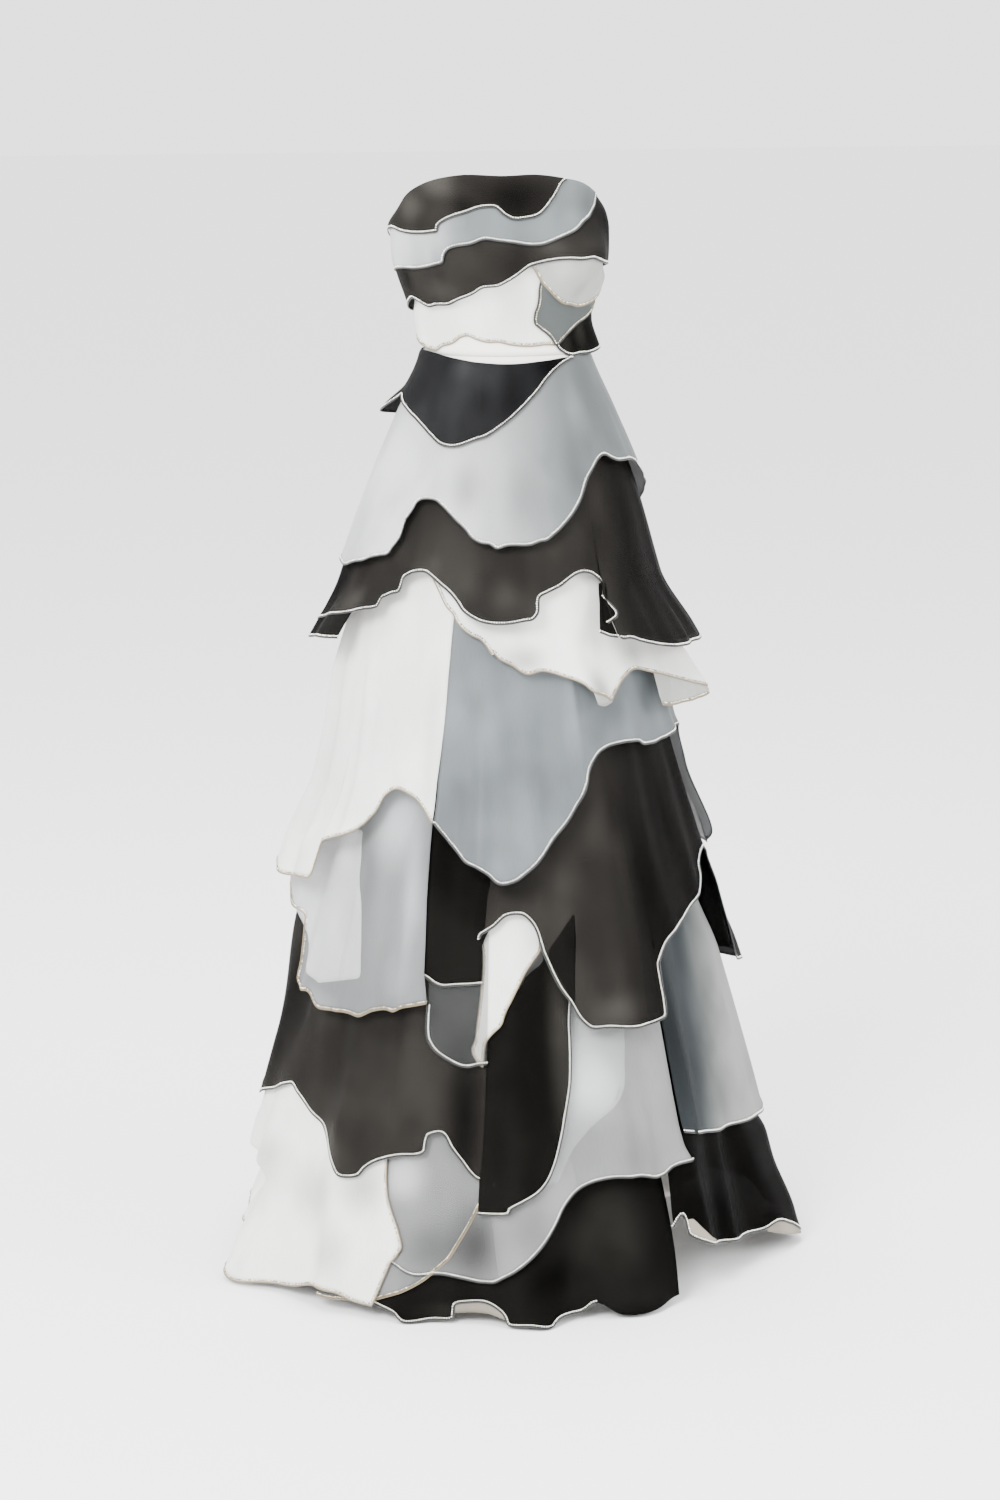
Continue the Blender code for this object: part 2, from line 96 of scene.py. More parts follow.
# "radius" turns degrees into a length along the cloth, "finePoints" is how finely a free edge is followed
cloth = {"thickness": 0.0004, "column": 0.0052, "row": 0.0075, "radius": 0.2, "finePoints": 2400,
         "bodiceRadius": 0.1335, "skirtRadius": 0.24, "steepShare": 0.35, "seamGap": 0.002,
         "slantReach": 30.0, "nudgeTurn": 0.15, "nudgeHeight": 0.0006, "tinyTurn": 1e-7}

# the rolled free edge and its chain of stones; "rings" are (share of the radius, share of the height)
trim = {"pitch": 0.0030, "stone": 0.00124, "height": 0.0010, "setBack": 0.0024, "roll": 0.00085,
        "step": 0.0028, "sides": 6, "rings": ((1.0, 0.0), (1.0, 0.40), (0.55, 1.0)), "spin": 0.3, "tilt": 0.8,
        "clear": 0.001, "sidePoints": 200}
chains = {"silver": ("crystalSilver", "blackThread"), "cream": ("crystalCream", "goldThread"),
          "creamOnBlack": ("crystalCream", "blackThread")}


def hermite(place, marks, values):
    # smooth curve through the values at the marks
    marks = np.asarray(marks, float)
    values = np.asarray(values, float)
    place = np.clip(place, marks[0], marks[-1])
    slopes = np.gradient(values, marks)
    at = np.clip(np.searchsorted(marks, place) - 1, 0, len(marks) - 2)
    span = marks[at + 1] - marks[at]
    t = (place - marks[at]) / span
    low = values[at] * (2 * t**3 - 3 * t**2 + 1) + slopes[at] * span * (t**3 - 2 * t**2 + t)
    return low + values[at + 1] * (3 * t**2 - 2 * t**3) + slopes[at + 1] * span * (t**3 - t**2)


def marksAt(table, first):
    # straight line through (first, second) pairs
    pairs = sorted(table)
    return np.interp(first, [pair[0] for pair in pairs], [pair[1] for pair in pairs])


def swell(x):
    return 0.5 + 0.5 * np.cos(math.pi * np.clip(np.abs(x), 0, 1))


def ease(x):
    t = np.clip(x, 0, 1)
    return t * t * (3 - 2 * t)


def runAlong(lengths):
    # distance from the start at each point, from the lengths between the points
    return np.concatenate([[0.0], np.cumsum(lengths)])


def turnFrom(turn, middle):
    return (turn - middle + 180) % 360 - 180


def relief(turn, height):
    turn, height = np.broadcast_arrays(np.asarray(turn, float), np.asarray(height, float))
    out = np.zeros(turn.shape)
    for crest, width, depth, start in zip(folds["turn"], folds["width"], folds["depth"], folds["start"]):
        grown = np.clip((start - height) / (start - folds["hem"]), 0, None) ** folds["growth"]
        out += depth * swell(turnFrom(turn, crest) / width) * grown
    for side in (-1, 1):
        across = turnFrom(turn, side * foundation["cupTurn"]) / foundation["cupHalfTurn"]
        along = (height - foundation["cupHeight"]) / foundation["cupHalfHeight"]
        out += foundation["cupDepth"] * swell(np.hypot(across, along))
    grown = np.clip((softFolds["top"] - height) / softFolds["length"], 0, softFolds["most"])
    for waves, lean, start, depth in zip(*(softFolds[key] for key in ("waves", "lean", "start", "depth"))):
        out += depth * grown * np.sin(np.radians(turn) * waves + height * lean + start)
    return out


def placeOn(turn, height, off):
    turn, height = np.broadcast_arrays(np.asarray(turn, float), np.asarray(height, float))
    down = -np.asarray(foundation["height"], float)
    half, front, back, shift = (hermite(-height, down, foundation[key])
                                for key in ("breadth", "front", "back", "shift"))
    angle = np.radians(turn)
    depth = np.where(np.cos(angle) > 0, front, back)
    across = np.sin(angle) / half
    along = -np.cos(angle) / depth
    length = np.hypot(across, along)
    out = off + relief(turn, height)
    x = shift + half * np.sin(angle) + out * across / length
    y = -depth * np.cos(angle) + out * along / length
    return np.stack([x, y, height + 0 * x], -1)


def neckAt(turn):
    return hermite(turnFrom(np.asarray(turn), 0), foundation["neckTurn"], foundation["neckHeight"])


print("surface ready")

# what the finishes of one colour share
families = {
    "black": {"rough": 0.50, "sheen": 0.0, "gloss": 0.01},
    "grey": {"rough": 0.45, "sheen": 0.05, "gloss": 0.10},
    "smoke": {"rough": 0.50, "sheen": 0.0, "gloss": 0.03},
    "white": {"rough": 0.42, "sheen": 0.04, "gloss": 0.10},
    "ivory": {"rough": 0.42, "sheen": 0.06, "gloss": 0.25},
    "beige": {"rough": 0.50, "sheen": 0.02, "gloss": 0.10},
}

# each finish has a left and a right colour. With "from" and "to" they change over between those two places
# across the gown, else they mingle as soft clouds, and with one colour alone both sides are the same.
finishes = {
    "blackOrganza": {"left": (0.0148, 0.0137, 0.0123), "right": (0.0048, 0.0045, 0.0041), "from": 0.045,
                     "to": 0.115, "alpha": 0.90, "cloud": 0.28},
    "blackYoke": {"left": (0.0128, 0.0130, 0.0136), "right": (0.0044, 0.0047, 0.0051), "from": -0.070,
                  "to": 0.050, "alpha": 0.90, "cloud": 0.30},
    "blackDense": {"left": (0.0036, 0.0034, 0.0030), "right": (0.0017, 0.0016, 0.0014), "from": 0.020,
                   "to": 0.120, "alpha": 0.95, "cloud": 0.35},
    "blackPly": {"left": (0.0010, 0.0010, 0.0009), "alpha": 0.70, "cloud": 0.3, "rough": 0.55},
    "blackVeil": {"left": (0.0014, 0.0013, 0.0012), "alpha": 0.32, "cloud": 0.3, "rough": 0.55},
    "greyOrganza": {"left": (0.118, 0.131, 0.139), "right": (0.094, 0.105, 0.110),
                    "alpha": 0.80, "cloud": 0.16, "sheen": 0.04},
    "greySide": {"left": (0.066, 0.074, 0.073), "right": (0.059, 0.066, 0.065), "alpha": 0.84, "cloud": 0.12,
                 "sheen": 0.02, "gloss": 0.05},
    "greyDeep": {"left": (0.023, 0.0268, 0.0290), "right": (0.185, 0.190, 0.184), "from": 0.168, "to": 0.262,
                 "waver": 0.025, "alpha": 0.92, "cloud": 0.14, "sheen": 0.0, "gloss": 0.02},
    "greyShaded": {"left": (0.50, 0.505, 0.51), "right": (0.118, 0.132, 0.137), "from": -0.147, "to": -0.087,
                   "alpha": 0.80, "cloud": 0.16, "gloss": 0.15},
    "greyYoke": {"left": (0.48, 0.487, 0.49), "right": (0.094, 0.104, 0.107), "from": -0.150, "to": 0.050,
                 "alpha": 0.80, "cloud": 0.16},
    "smokeOrganza": {"left": (0.050, 0.053, 0.0525), "alpha": 0.22, "cloud": 0.2},
    "whiteOrganza": {"left": (0.90, 0.895, 0.87), "right": (0.80, 0.79, 0.76), "alpha": 0.70, "cloud": 0.08,
                     "sheen": 0.08, "gloss": 0.25},
    "whiteVeil": {"left": (0.86, 0.87, 0.86), "right": (0.82, 0.83, 0.83), "alpha": 0.24, "cloud": 0.12,
                  "sheen": 0.02},
    "whiteSheer": {"left": (0.80, 0.83, 0.85), "alpha": 0.070, "cloud": 0.15, "sheen": 0.01, "gloss": 0.04},
    "whiteMist": {"left": (0.80, 0.81, 0.80), "alpha": 0.018, "cloud": 0.10, "sheen": 0.0, "gloss": 0.02},
    "greyMist": {"left": (0.16, 0.17, 0.17), "alpha": 0.050, "cloud": 0.10, "sheen": 0.0, "gloss": 0.02},
    "whiteKnee": {"left": (0.148, 0.153, 0.156), "right": (0.140, 0.146, 0.149),
                  "alpha": 0.80, "cloud": 0.10},
    "whitePale": {"left": (0.172, 0.175, 0.172), "right": (0.160, 0.164, 0.162),
                  "alpha": 0.84, "cloud": 0.10},
    "ivoryCup": {"left": (0.32, 0.32, 0.305), "right": (0.29, 0.29, 0.275), "alpha": 0.74, "cloud": 0.14},
    "beigeLining": {"left": (0.23, 0.205, 0.165), "right": (0.15, 0.135, 0.11), "alpha": 0.94, "cloud": 0.2},
}

# sizes of the patterns in the cloth: "stretch" is how often each repeats across and along, and a pattern
# changes over within its band
threadBand = (0.3, 0.7)
organzaGrain = {"cloud": 13.0, "cloudStretch": (1.0, 1.0, 0.75), "streakStretch": (16.0, 2.2, 1.0),
                "streakShare": 0.22, "mingle": 5.0, "threadStretch": (1400.0, 60.0, 1.0), "weave": 420.0,
                "bump": 0.16, "depth": 0.00012, "waver": 0.12, "sheenRough": 0.35, "soft": 0.45,
                "cloudBand": (0.36, 0.64), "threadTone": (0.96, 1.04), "threadRough": (-0.06, 0.08),
                "threadHeight": 0.8}
satinGrain = {"cloud": 9.0, "threadStretch": (900.0, 90.0, 1.0), "threadShare": 0.3, "dark": 0.88,
              "weaveAcross": 520.0, "weaveAlong": 260.0, "bump": 0.4, "depth": 0.00015, "sheen": 0.2,
              "sheenRough": 0.4, "rough": (0.42, 0.55)}
crystalGrain = {"cell": 0.0022, "dullRough": 0.22, "clearRough": 0.10, "metal": 0.92, "coat": 0.6,
                "coatRough": 0.05}
threadGrain = {"twist": 900.0, "dark": 0.7, "bump": 0.5, "depth": 0.0002, "rough": 0.5}


def newPaint(name):
    paint = bpy.data.materials.new(name)
    paint.use_nodes = True
    return paint, paint.node_tree, paint.node_tree.nodes["Principled BSDF"]


def whereNode(tree):
    return tree.nodes.new("ShaderNodeTexCoord").outputs


def noiseNode(tree, vector, scale, detail, rough=0.5):
    node = tree.nodes.new("ShaderNodeTexNoise")
    node.inputs["Scale"].default_value = scale
    node.inputs["Detail"].default_value = detail
    node.inputs["Roughness"].default_value = rough
    tree.links.new(vector, node.inputs["Vector"])
    return node.outputs["Fac"]


def fillSockets(tree, sockets, values):
    # a number or a colour is set, and anything else is linked
    for socket, value in zip(sockets, values):
        if isinstance(value, (int, float)):
            socket.default_value = value
        elif isinstance(value, tuple):
            socket.default_value = value + (1.0,)
        else:
            tree.links.new(value, socket)


def mathNode(tree, operation, *values):
    node = tree.nodes.new("ShaderNodeMath")
    node.operation = operation
    fillSockets(tree, node.inputs, values)
    return node.outputs[0]


def rangeNode(tree, value, low, high, toLow, toHigh):
    node = tree.nodes.new("ShaderNodeMapRange")
    node.interpolation_type = "SMOOTHSTEP"
    tree.links.new(value, node.inputs["Value"])
    for socket, number in (("From Min", low), ("From Max", high), ("To Min", toLow), ("To Max", toHigh)):
        node.inputs[socket].default_value = number
    return node.outputs["Result"]


def stretchNode(tree, vector, scale):
    node = tree.nodes.new("ShaderNodeMapping")
    node.inputs["Scale"].default_value = scale
    tree.links.new(vector, node.inputs["Vector"])
    return node.outputs["Vector"]


def mixNode(tree, kind, share, first, second):
    node = tree.nodes.new("ShaderNodeMix")
    node.data_type = "RGBA"
    node.blend_type = kind
    fillSockets(tree, (node.inputs[0], node.inputs[6], node.inputs[7]), (share, first, second))
    return node.outputs[2]


def weaveHeight(tree, uv, across, along):
    waves = []
    for direction, scale in (("X", across), ("Y", along)):
        node = tree.nodes.new("ShaderNodeTexWave")
        node.bands_direction = direction
        node.inputs["Scale"].default_value = scale
        node.inputs["Distortion"].default_value = 0.0
        tree.links.new(uv, node.inputs["Vector"])
        waves.append(node.outputs["Fac"])
    return mathNode(tree, "MULTIPLY", *waves)


def addBump(tree, shader, height, grain):
    bump = tree.nodes.new("ShaderNodeBump")
    bump.inputs["Strength"].default_value = grain["bump"]
    bump.inputs["Distance"].default_value = grain["depth"]
    tree.links.new(height, bump.inputs["Height"])
    tree.links.new(bump.outputs["Normal"], shader.inputs["Normal"])


def colourFrom(word):
    return next(colour for colour in families if word.startswith(colour))


def organza(name):
    look = {**families[colourFrom(name)], **finishes[name]}
    grain = organzaGrain
    paint, tree, shader = newPaint(name)
    place, uv = (whereNode(tree)[socket] for socket in ("Object", "UV"))
    # soft clouds where the plies behind show through, and the darker and lighter places of each piece, which
    # are partly painted shade and painted highlight on its folds and sheen and partly its own tone
    stretched = stretchNode(tree, place, grain["cloudStretch"])
    clouds = noiseNode(tree, stretched, grain["cloud"], 2.0, grain["soft"])
    streaks = noiseNode(tree, stretchNode(tree, uv, grain["streakStretch"]), 1.0, 1.0, grain["soft"])
    threads = noiseNode(tree, stretchNode(tree, uv, grain["threadStretch"]), 1.0, 2.0, 0.6)
    share = grain["streakShare"]
    mixed = mathNode(tree, "MULTIPLY_ADD", streaks, share, mathNode(tree, "MULTIPLY", clouds, 1 - share))
    tone = rangeNode(tree, mixed, *grain["cloudBand"], 1.0 - look["cloud"], 1.0 + look["cloud"])
    paintedLightAndToneSpots = tree.nodes.new("ShaderNodeAttribute")
    paintedLightAndToneSpots.attribute_name = "shade"
    # the colour is multiplied by the spots of painted shade and painted highlight, which also hold the
    # cloth's own tone
    tone = mathNode(tree, "MULTIPLY", tone, paintedLightAndToneSpots.outputs["Fac"])
    tone = mathNode(tree, "MULTIPLY", tone, rangeNode(tree, threads, *threadBand, *grain["threadTone"]))
    if "from" in look:
        split = tree.nodes.new("ShaderNodeSeparateXYZ")
        tree.links.new(place, split.inputs[0])
        waver = mathNode(tree, "SUBTRACT", clouds, 0.5)
        edge = mathNode(tree, "MULTIPLY_ADD", waver, look.get("waver", grain["waver"]), split.outputs["X"])
        side = rangeNode(tree, edge, look["from"], look["to"], 0.0, 1.0)
    else:
        side = noiseNode(tree, place, grain["mingle"], 2.0)
    colour = mixNode(tree, "MIX", side, look["left"], look.get("right", look["left"]))
    grey = tree.nodes.new("ShaderNodeCombineColor")
    for socket in grey.inputs[:3]:
        tree.links.new(tone, socket)
    tree.links.new(mixNode(tree, "MULTIPLY", 1.0, colour, grey.outputs[0]), shader.inputs["Base Color"])
    rough = rangeNode(tree, threads, *threadBand, *(look["rough"] + more for more in grain["threadRough"]))
    tree.links.new(rough, shader.inputs["Roughness"])
    weave = weaveHeight(tree, uv, grain["weave"], grain["weave"])
    addBump(tree, shader, mathNode(tree, "MULTIPLY_ADD", threads, grain["threadHeight"], weave), grain)
    shader.inputs["Alpha"].default_value = look["alpha"]
    shader.inputs["Sheen Weight"].default_value = look["sheen"]
    shader.inputs["Sheen Roughness"].default_value = grain["sheenRough"]
    shader.inputs["Specular IOR Level"].default_value = look["gloss"]
    return paint


def satin(name, colour):
    grain = satinGrain
    paint, tree, shader = newPaint(name)
    place, uv = (whereNode(tree)[socket] for socket in ("Object", "UV"))
    clouds = noiseNode(tree, place, grain["cloud"], 2.0)
    threads = noiseNode(tree, stretchNode(tree, uv, grain["threadStretch"]), 1.0, 2.0)
    share = grain["threadShare"]
    mixed = mathNode(tree, "MULTIPLY_ADD", threads, share, mathNode(tree, "MULTIPLY", clouds, 1 - share))
    darker = tuple(grain["dark"] * part for part in colour)
    tree.links.new(mixNode(tree, "MIX", mixed, darker, colour), shader.inputs["Base Color"])
    tree.links.new(rangeNode(tree, threads, *threadBand, *grain["rough"]), shader.inputs["Roughness"])
    addBump(tree, shader, weaveHeight(tree, uv, grain["weaveAcross"], grain["weaveAlong"]), grain)
    shader.inputs["Sheen Weight"].default_value = grain["sheen"]
    shader.inputs["Sheen Roughness"].default_value = grain["sheenRough"]
    return paint


def crystal(name, colour, unlitStoneShare):
    # each small cell of space has its own painted glint: stone by stone the colour is brighter or darker, as
    # if some stones catch the light and others don't, and the roughness changes with it
    grain = crystalGrain
    paint, tree, shader = newPaint(name)
    cell = tree.nodes.new("ShaderNodeVectorMath")
    cell.operation = "SNAP"
    cell.inputs[1].default_value = 3 * (grain["cell"],)
    tree.links.new(whereNode(tree)["Object"], cell.inputs[0])
    glint = tree.nodes.new("ShaderNodeTexWhiteNoise")
    tree.links.new(cell.outputs[0], glint.inputs["Vector"])
    bright = glint.outputs["Value"]
    unlitStoneColour = tuple(unlitStoneShare * part for part in colour)
    share = rangeNode(tree, bright, 0.0, 1.0, 0.0, 1.0)
    tree.links.new(mixNode(tree, "MIX", share, unlitStoneColour, colour), shader.inputs["Base Color"])
    rough = rangeNode(tree, bright, 0.0, 1.0, grain["dullRough"], grain["clearRough"])
    tree.links.new(rough, shader.inputs["Roughness"])
    shader.inputs["Metallic"].default_value = grain["metal"]
    shader.inputs["Coat Weight"].default_value = grain["coat"]
    shader.inputs["Coat Roughness"].default_value = grain["coatRough"]
    return paint


def thread(name, colour):
    grain = threadGrain
    paint, tree, shader = newPaint(name)
    twist = noiseNode(tree, whereNode(tree)["Object"], grain["twist"], 2.0)
    darker = tuple(grain["dark"] * part for part in colour)
    tree.links.new(mixNode(tree, "MIX", twist, darker, colour), shader.inputs["Base Color"])
    addBump(tree, shader, twist, grain)
    shader.inputs["Roughness"].default_value = grain["rough"]
    return paint


paints = {name: organza(name) for name in finishes}
paints["ivorySatin"] = satin("ivorySatin", (0.88, 0.86, 0.80))
# the last number is the share of the colour that a stone without painted glint keeps
paints["crystalSilver"] = crystal("crystalSilver", (0.98, 0.96, 0.88), 0.60)
paints["crystalCream"] = crystal("crystalCream", (0.86, 0.78, 0.58), 0.20)
paints["blackThread"] = thread("blackThread", (0.012, 0.012, 0.012))
paints["goldThread"] = thread("goldThread", (0.20, 0.15, 0.085))
print("cloth and crystal finishes ready")

group = bpy.data.collections.new("gownPieces")
bpy.context.scene.collection.children.link(group)


def newPiece(name, points, faces, paintNames):
    mesh = bpy.data.meshes.new(name)
    mesh.from_pydata(points.tolist(), [], faces)
    for paintName in paintNames:
        mesh.materials.append(paints[paintName])
    mesh.polygons.foreach_set("use_smooth", [True] * len(faces))
    piece = bpy.data.objects.new(name, mesh)
    group.objects.link(piece)
    return piece, mesh


def stripFaces(first, second, closed):
    # first and second are matching rows of point numbers
    count = first.shape[0] if closed else first.shape[0] - 1
    i = np.arange(count)
    j = (i + 1) % first.shape[0]
    return np.stack([first[i].ravel(), second[i].ravel(), second[j].ravel(), first[j].ravel()], -1)


def paintedLightAndToneAt(paintedLightAndToneSpots, turn, height):
    # soft darker and lighter places, each (turn, height, half width, half height, amount): partly painted
    # shade and painted highlight on folds and sheen, partly the cloth's own tone
    shade = np.ones(np.broadcast(turn, height).shape)
    for middle, level, wide, tall, amount in paintedLightAndToneSpots:
        shade = shade * (1 + amount * swell(np.hypot(turnFrom(turn, middle) / wide, (height - level) / tall)))
    return shade


def makeSheet(name, turn, height, off, paintName, closed=False, paintedLightAndToneSpots=()):
    # a thin double wall: turn and height hold one row for each column of the cloth, from the top down
    columns, rows = turn.shape
    lift = off(turn, height)
    inner = placeOn(turn, height, lift).reshape(-1, 3)
    outer = placeOn(turn, height, lift + cloth["thickness"]).reshape(-1, 3)
    half = columns * rows
    number = np.arange(half).reshape(columns, rows)
    face = stripFaces(number[:, :-1], number[:, 1:], closed)
    faces = [face, half + face[:, ::-1], stripFaces(number[:, 0], half + number[:, 0], closed)[:, ::-1],
             stripFaces(number[:, -1], half + number[:, -1], closed)]
    if not closed:
        faces.append(stripFaces(number[0], half + number[0], False))
        faces.append(stripFaces(number[-1], half + number[-1], False)[:, ::-1])
    faces = np.concatenate(faces).tolist()
    piece, mesh = newPiece(name, np.concatenate([outer, inner]), faces, [paintName])
    uv = np.tile(np.stack([np.radians(turn) * cloth["radius"], height], -1).reshape(-1, 2), (2, 1))
    corner = np.empty(len(mesh.loops), int)
    mesh.loops.foreach_get("vertex_index", corner)
    mesh.uv_layers.new(name="clothMap").data.foreach_set("uv", uv[corner].ravel())
    # the darker and lighter places, partly painted shade and painted highlight and partly the cloth's own
    # tone, go on as a value at each point that the finish multiplies its colour by
    shade = np.tile(paintedLightAndToneAt(paintedLightAndToneSpots, turn, height).ravel(), 2)
    mesh.attributes.new("shade", "FLOAT", "POINT").data.foreach_set("value", shade)
    mesh.update()
    # the cut that it takes: widest row, longest column and area
    middle = 0.5 * (inner + outer)
    a, b, c, d = (middle[face[:, n]] for n in range(4))
    area = 0.5 * np.linalg.norm(np.cross(c - a, d - b), axis=-1).sum()
    grid = middle.reshape(columns, rows, 3)
    loop = np.concatenate([grid, grid[:1]]) if closed else grid
    wide = np.linalg.norm(np.diff(loop, axis=0), axis=-1).sum(0).max()
    long = np.linalg.norm(np.diff(grid, axis=1), axis=-1).sum(1).max()
    return piece, (float(wide), float(long)), float(area)

def surfaceFrame(turn, height, off):
    # the place, the directions with the turn and with the height, and the way out of the cloth
    def at(t, h):
        return placeOn(t, h, off(t, h) + cloth["thickness"])
    side, up = cloth["nudgeTurn"], cloth["nudgeHeight"]
    across = (at(turn + side, height) - at(turn - side, height)) / (2 * side)
    rise = (at(turn, height + up) - at(turn, height - up)) / (2 * up)
    normal = np.cross(across, rise)
    normal /= np.linalg.norm(normal, axis=-1, keepdims=True)
    return at(turn, height), across, rise, normal


def smoothSlope(values, closed):
    if closed:
        return (np.roll(values, -1, 0) - np.roll(values, 1, 0)) / 2
    return np.gradient(values, axis=0)


def resample(turn, height, points, step, closed):
    if closed:
        turn = np.append(turn, turn[0] + 360)
        height = np.append(height, height[0])
        points = np.concatenate([points, points[:1]])
    run = runAlong(np.linalg.norm(np.diff(points, axis=0), axis=-1))
    count = max(int(round(run[-1] / step)), 2)
    at = np.linspace(0, run[-1], count + 1)
    if closed:
        at = at[:-1]
    return np.interp(at, run, turn), np.interp(at, run, height)


def ringPoints():
    return [(math.cos(a), math.sin(a)) for a in (math.tau * n / trim["sides"] for n in range(trim["sides"]))]


def stoneShape():
    radius, height, sides = trim["stone"], trim["height"], trim["sides"]
    points = [(radius * share * c, radius * share * s, height * up)
              for share, up in trim["rings"] for c, s in ringPoints()]
    faces = [tuple(range(sides - 1, -1, -1)), tuple(range(2 * sides, 3 * sides))]
    for low in (0, sides):
        faces += [(low + n, low + (n + 1) % sides, low + sides + (n + 1) % sides, low + sides + n)
                  for n in range(sides)]
    return np.array(points), faces


def edgeDirections(turn, height, off, closed):
    here, across, rise, normal = surfaceFrame(turn, height, off)
    along = smoothSlope(here, closed)
    along -= (along * normal).sum(-1, keepdims=True) * normal
    along /= np.linalg.norm(along, axis=-1, keepdims=True)
    return here, across, rise, normal, along, np.cross(normal, along)


def makeTrim(name, turn, height, off, chain, closed=False):
    # turn and height follow the free edge with the cloth on its left
    points = placeOn(turn, height, off(turn, height) + cloth["thickness"] / 2)
    turn, height = resample(turn, height, points, trim["step"], closed)
    here, across, rise, normal = surfaceFrame(turn, height, off)
    along = smoothSlope(here, closed)
    along /= np.linalg.norm(along, axis=-1, keepdims=True)
    inward = np.cross(normal, along)
    # rolled edge
    middle = here - normal * cloth["thickness"] / 2
    tube = np.stack([middle + trim["roll"] * (c * inward + s * normal) for c, s in ringPoints()], 1)
    count, sides = len(turn), trim["sides"]
    number = np.arange(count * sides).reshape(count, sides)
    faces = stripFaces(number, np.roll(number, -1, 1), closed)[:, (0, 3, 2, 1)].tolist()
    if not closed:
        faces.append(number[0, ::-1].tolist())
        faces.append(number[-1].tolist())
    rolled = len(faces)
    # stones stand a little way in from the edge
    flat = (across * across).sum(-1), (across * rise).sum(-1), (rise * rise).sum(-1)
    want = [(inward * way).sum(-1) * trim["setBack"] for way in (across, rise)]
    size = flat[0] * flat[2] - flat[1] ** 2
    turn = turn + (want[0] * flat[2] - want[1] * flat[1]) / size
    height = height + (want[1] * flat[0] - want[0] * flat[1]) / size
    turn, height = resample(turn, height, placeOn(turn, height, off(turn, height)), trim["pitch"], closed)
    here, across, rise, normal, along, inward = edgeDirections(turn, height, off, closed)
    stone, stoneFaces = stoneShape()
    spin = np.random.default_rng(len(name)).uniform(-trim["spin"], trim["spin"], (len(here), 2))
    tip = normal + trim["tilt"] * (spin[:, :1] * along + spin[:, 1:] * inward)
    tip /= np.linalg.norm(tip, axis=-1, keepdims=True)
    stones = here[:, None] + sum(stone[None, :, n:n + 1] * way[:, None]
                                 for n, way in enumerate((along, inward, tip)))
    for start in range(number.size, number.size + stone.shape[0] * len(here), stone.shape[0]):
        faces += [[start + corner for corner in face] for face in stoneFaces]
    everyPoint = np.concatenate([tube.reshape(-1, 3), stones.reshape(-1, 3)])
    piece, mesh = newPiece(name, everyPoint, faces, chains[chain])
    mesh.polygons.foreach_set("material_index", [int(n < rolled) for n in range(len(faces))])
    mesh.update()
    return piece, len(here)


def finePath(piece):
    # a smooth fine line through the marks of a free edge, always turning the same way
    turn, height = (np.array(piece[key], float) for key in ("turn", "height"))
    closed = piece.get("closed", False)
    if closed:
        turn = np.concatenate([turn[-2:] - 360, turn, turn[:3] + 360])
        height = np.concatenate([height[-2:], height, height[:3]])
    count = cloth["finePoints"]
    run = runAlong(np.hypot(np.radians(np.diff(turn)) * cloth["radius"], np.diff(height)))
    fine = np.linspace(0, run[-1], count)
    fineHeight = hermite(fine, run, height)
    fineTurn = np.maximum.accumulate(hermite(fine, run, turn) + cloth["tinyTurn"] * np.arange(count))
    if closed:
        keep = (fineTurn >= -180) & (fineTurn < 180)
        return fineTurn[keep], fineHeight[keep]
    return fineTurn, fineHeight


def columnTurns(turn, height, radius, closed):
    # even steps along the free edge, so that steep parts get more columns
    run = runAlong(np.hypot(np.radians(np.diff(turn)) * radius, cloth["steepShare"] * np.diff(height)))
    count = int(run[-1] / cloth["column"]) + 2
    at = np.linspace(0, run[-1], count + 1)
    return np.interp(at[:-1] if closed else at, run, turn)


made = {"sheets": [], "stones": 0}


def nodeOf(name, piece):
    # the solid that a piece replaces has the same name, in small letters with lines between the words
    plain = "".join("_" + letter.lower() if letter.isupper() else letter for letter in name)
    return piece.get("node", plain)


def finishPiece(piece, node):
    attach(piece, "root")
    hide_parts(node)


def addCloth(name, node, piece, turn, height, off, path, closed=False, ringed=False):
    # one layer with its chain along the path, noted down for the list of sheets
    finish = piece["finish"]
    sheet, flat, area = makeSheet(name, turn, height, off, finish, closed, piece.get("paintedLightAndToneSpots", ()))
    finishPiece(sheet, node)
    extras = []
    if "chain" in piece:
        edge, count = makeTrim(name + "Crystals", *path, off, piece["chain"], ringed)
        finishPiece(edge, node)
        extras.append(edge)
        made["stones"] += count
    made["sheets"].append((sheet, flat, area, extras, piece))
    print(name, "flat", [round(side, 3) for side in flat], "area", round(area, 4))


def slant(piece, turn, height):
    # pulls the sides of an open layer to their slanted lines and leaves the free edge where it is
    reach = min(turn[-1, 0] - turn[0, 0], cloth["slantReach"])
    moved = turn
    for side, away in (("left", turn - turn[0, 0]), ("right", turn[-1, 0] - turn)):
        if side in piece:
            fall = np.clip(1 - away / reach, 0, None)
            moved = moved + fall * (marksAt(piece[side], height) - marksAt(piece[side], height[:, -1:]))
    return moved


def trimPath(piece, edgeTurn, edgeHeight):
    if "trimGap" in piece:
        first, last = piece["trimGap"]
        after, before = edgeTurn > last, edgeTurn < first
        return (np.concatenate([edgeTurn[after], edgeTurn[before] + 360]),
                np.concatenate([edgeHeight[after], edgeHeight[before]]))
    kept = edgeTurn <= piece.get("trimTo", math.inf)
    parts = [(edgeTurn[kept], edgeHeight[kept])]
    if "trimLeft" in piece:
        down = np.linspace(piece["trimLeft"], edgeHeight[0] + trim["clear"], trim["sidePoints"])
        parts.insert(0, (marksAt(piece["left"], down), down))
    if "trimRight" in piece:
        up = np.linspace(edgeHeight[-1] + trim["clear"], piece["trimRight"], trim["sidePoints"])
        parts.append((marksAt(piece["right"], up), up))
    return [np.concatenate(part) for part in zip(*parts)]


